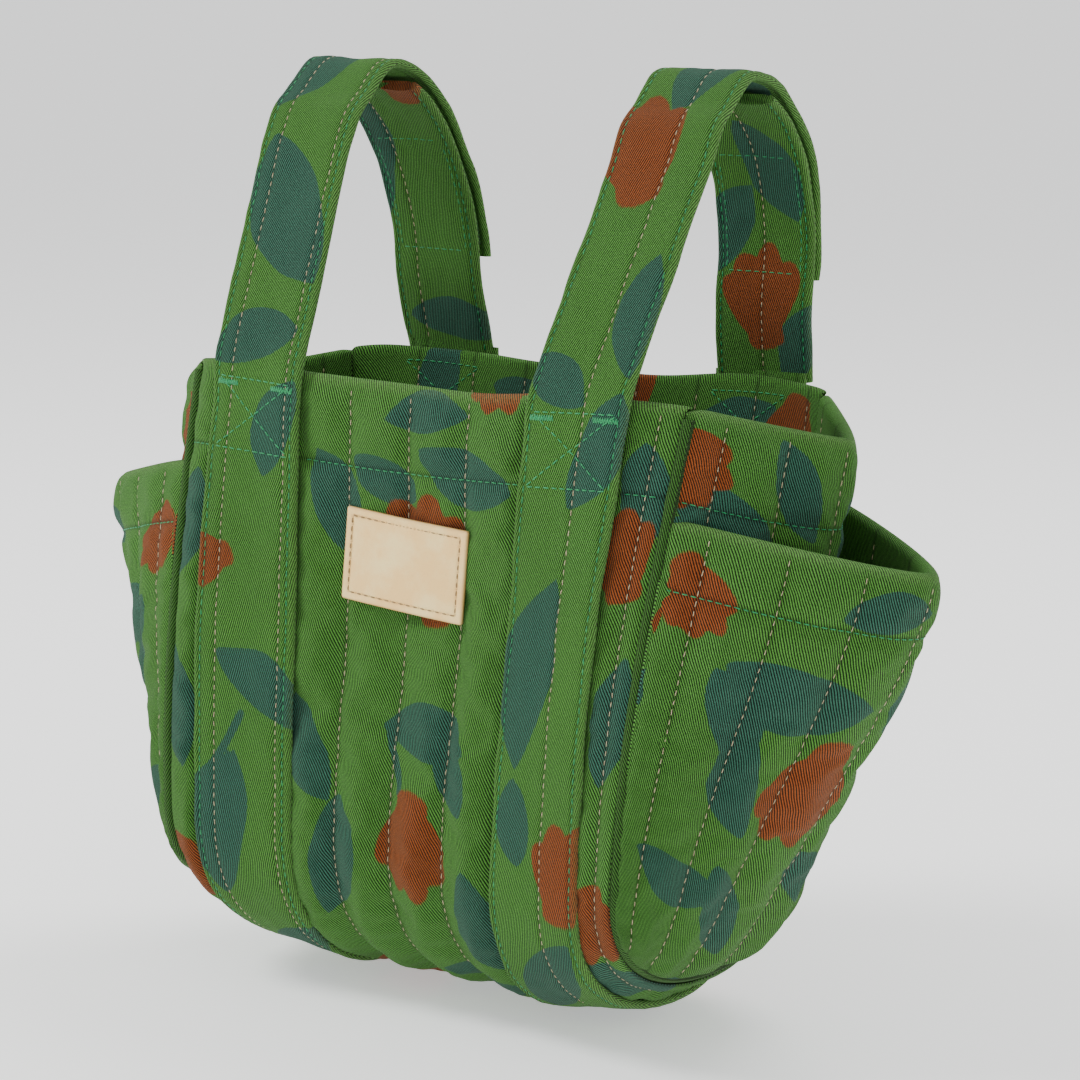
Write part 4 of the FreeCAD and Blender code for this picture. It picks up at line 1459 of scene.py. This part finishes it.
quilting = [
    wrap_seam(x, np.arange(0.5, WRAP_LENGTH - 0.5, LINE_STEP))
    for x in WRAP_LINES if abs(x) < 50 or 94 < abs(x) < 108
]
for x in WRAP_LINES[1:]:
    for low in (0, WRAP_LENGTH - HEM):
        quilting.append(wrap_seam(x, np.arange(low, low + HEM - 2, LINE_STEP), True))
sew("body_quilting", WRAP_TREE, quilting, QUILTING, "bag")
hems = []
for run in (HEM, WRAP_LENGTH - HEM):
    for x0, x1 in ((-108, -93.5), (-50.5, 50.5), (93.5, 108)):
        hems.append(wrap_seam(np.linspace(x0, x1, 40), run))
    hems.append(wrap_seam(np.linspace(-106, 106, 90), run, True))
sew("body_hem", WRAP_TREE, hems, HEMMING, "bag")

for hand, side in SIDES:
    for kind, nodes, swell, covered in (
        ("side", ("shell", "wadding"), 1.3, 36), ("pocket", ("shell",), 1.7, math.inf)
    ):
        name, form = f"{hand}_{kind}", FORMS[kind]
        obj, tree = gusset_quilt(f"{name}_quilt", form, side, swell, 30 + side + len(kind), covered)
        print_cloth(obj, GUSSET_PRINTS[kind], 6 * (side < 0))
        dress(obj, TWILL, "bag")
        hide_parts(*(f"{name}_{node}" for node in nodes))
        lines = [
            form_seam(form, side, x, np.arange(low, high, LINE_STEP), inside)
            for low, high, inside in ((0.5, form.height - 6, False), (2, form.hem - 2, True))
            for x in form.lines
        ]
        row = np.arange(-form.half + 4, form.half - 4, LINE_STEP)
        hems = [form_seam(form, side, row, form.hem, inside) for inside in (False, True)]
        sew(f"{name}_quilting", tree, lines, QUILTING, "bag")
        sew(f"{name}_hem", tree, hems, HEMMING, "bag")

build_linings()
for hand, side in SIDES:
    build_seam(hand, side)

STRAP_TREES = {}
for (hand, side), strap_lines, tab_line in zip(SIDES, ((-11.5, 15), (3.5,)), (-9, 0)):
    STRAP_TREES[hand] = build_strap(hand, side, strap_lines)
    build_tab(hand, side, (tab_line,))
    build_patch(hand, side, "hook", "flap", -STRAP_THICK / 2 - 0.5)
    build_patch(hand, side, "loop", "tab", -TAB_SPACING + STRAP_THICK / 2 + 0.5)

box_stitches(STRAP_TREES)
build_tacks("front", STRAP_TREES)
build_tacks("back", STRAP_TREES)
build_label()

# ---------------------------------------------------------------- stage, light and camera

floor_mesh = bpy.data.meshes.new("floor")
z = CAD_BOUNDS[0][2] - 0.004
corners = ((-1, -1), (1, -1), (1, 1), (-1, 1))
floor_verts = [(x * reach, y * reach, z + rise) for reach, rise in ((5, 0), (200, 6)) for x, y in corners]
rings = [(k, (k + 1) % 4, (k + 1) % 4 + 4, k + 4) for k in range(4)]
floor_mesh.from_pydata(floor_verts, [], [(0, 1, 2, 3), *[ring[::-1] for ring in rings]])
floor = bpy.data.objects.new("floor", floor_mesh)
bpy.context.scene.collection.objects.link(floor)
floor_mat, floor_shader = new_material("floor")
floor_shader.inputs["Base Color"].default_value = (0.95, 0.95, 0.94, 1)
floor_shader.inputs["Roughness"].default_value = 0.9
floor_shader.inputs["Emission Color"].default_value = (1, 1, 1, 1)
floor_shader.inputs["Emission Strength"].default_value = 0.5
floor.data.materials.append(floor_mat)


def area_light(name, place, aim, size, power):
    data = bpy.data.lights.new(name, "AREA")
    data.shape = "DISK"
    data.size = size
    data.energy = power
    lamp = bpy.data.objects.new(name, data)
    lamp.location = place
    lamp.rotation_euler = (Vector(aim) - Vector(place)).to_track_quat("-Z", "Y").to_euler()
    bpy.context.scene.collection.objects.link(lamp)


area_light("key", (-1.3, -1.0, 1.5), (0, 0, -0.15), 0.8, 40)
area_light("fill", (1.9, -1.3, 0.5), (0, 0, -0.15), 1.6, 8)
area_light("top", (0.2, 1.0, 1.6), (0, 0, -0.1), 1.2, 20)

world = bpy.data.worlds.new("studio")
world.use_nodes = True
world.node_tree.nodes["Background"].inputs[0].default_value = (0.93, 0.94, 0.95, 1)
world.node_tree.nodes["Background"].inputs[1].default_value = 0.85
bpy.context.scene.world = world

camera_data = bpy.data.cameras.new("camera")
camera_data.lens = 105
camera_data.sensor_width = 36
camera = bpy.data.objects.new("camera", camera_data)
right, up = Vector((0.82918, 0.5587, 0.01766)), Vector((-0.10917, 0.13087, 0.98537))
ahead = Vector((-0.54822, 0.81898, -0.1695))
camera.matrix_world = Matrix(
    [(r, u_, -a, p) for r, u_, a, p in zip(right, up, ahead, (0.6725, -0.9815, 0.0573))] + [(0, 0, 0, 1)]
)
bpy.context.scene.collection.objects.link(camera)
bpy.context.scene.camera = camera

bpy.context.view_layer.update()
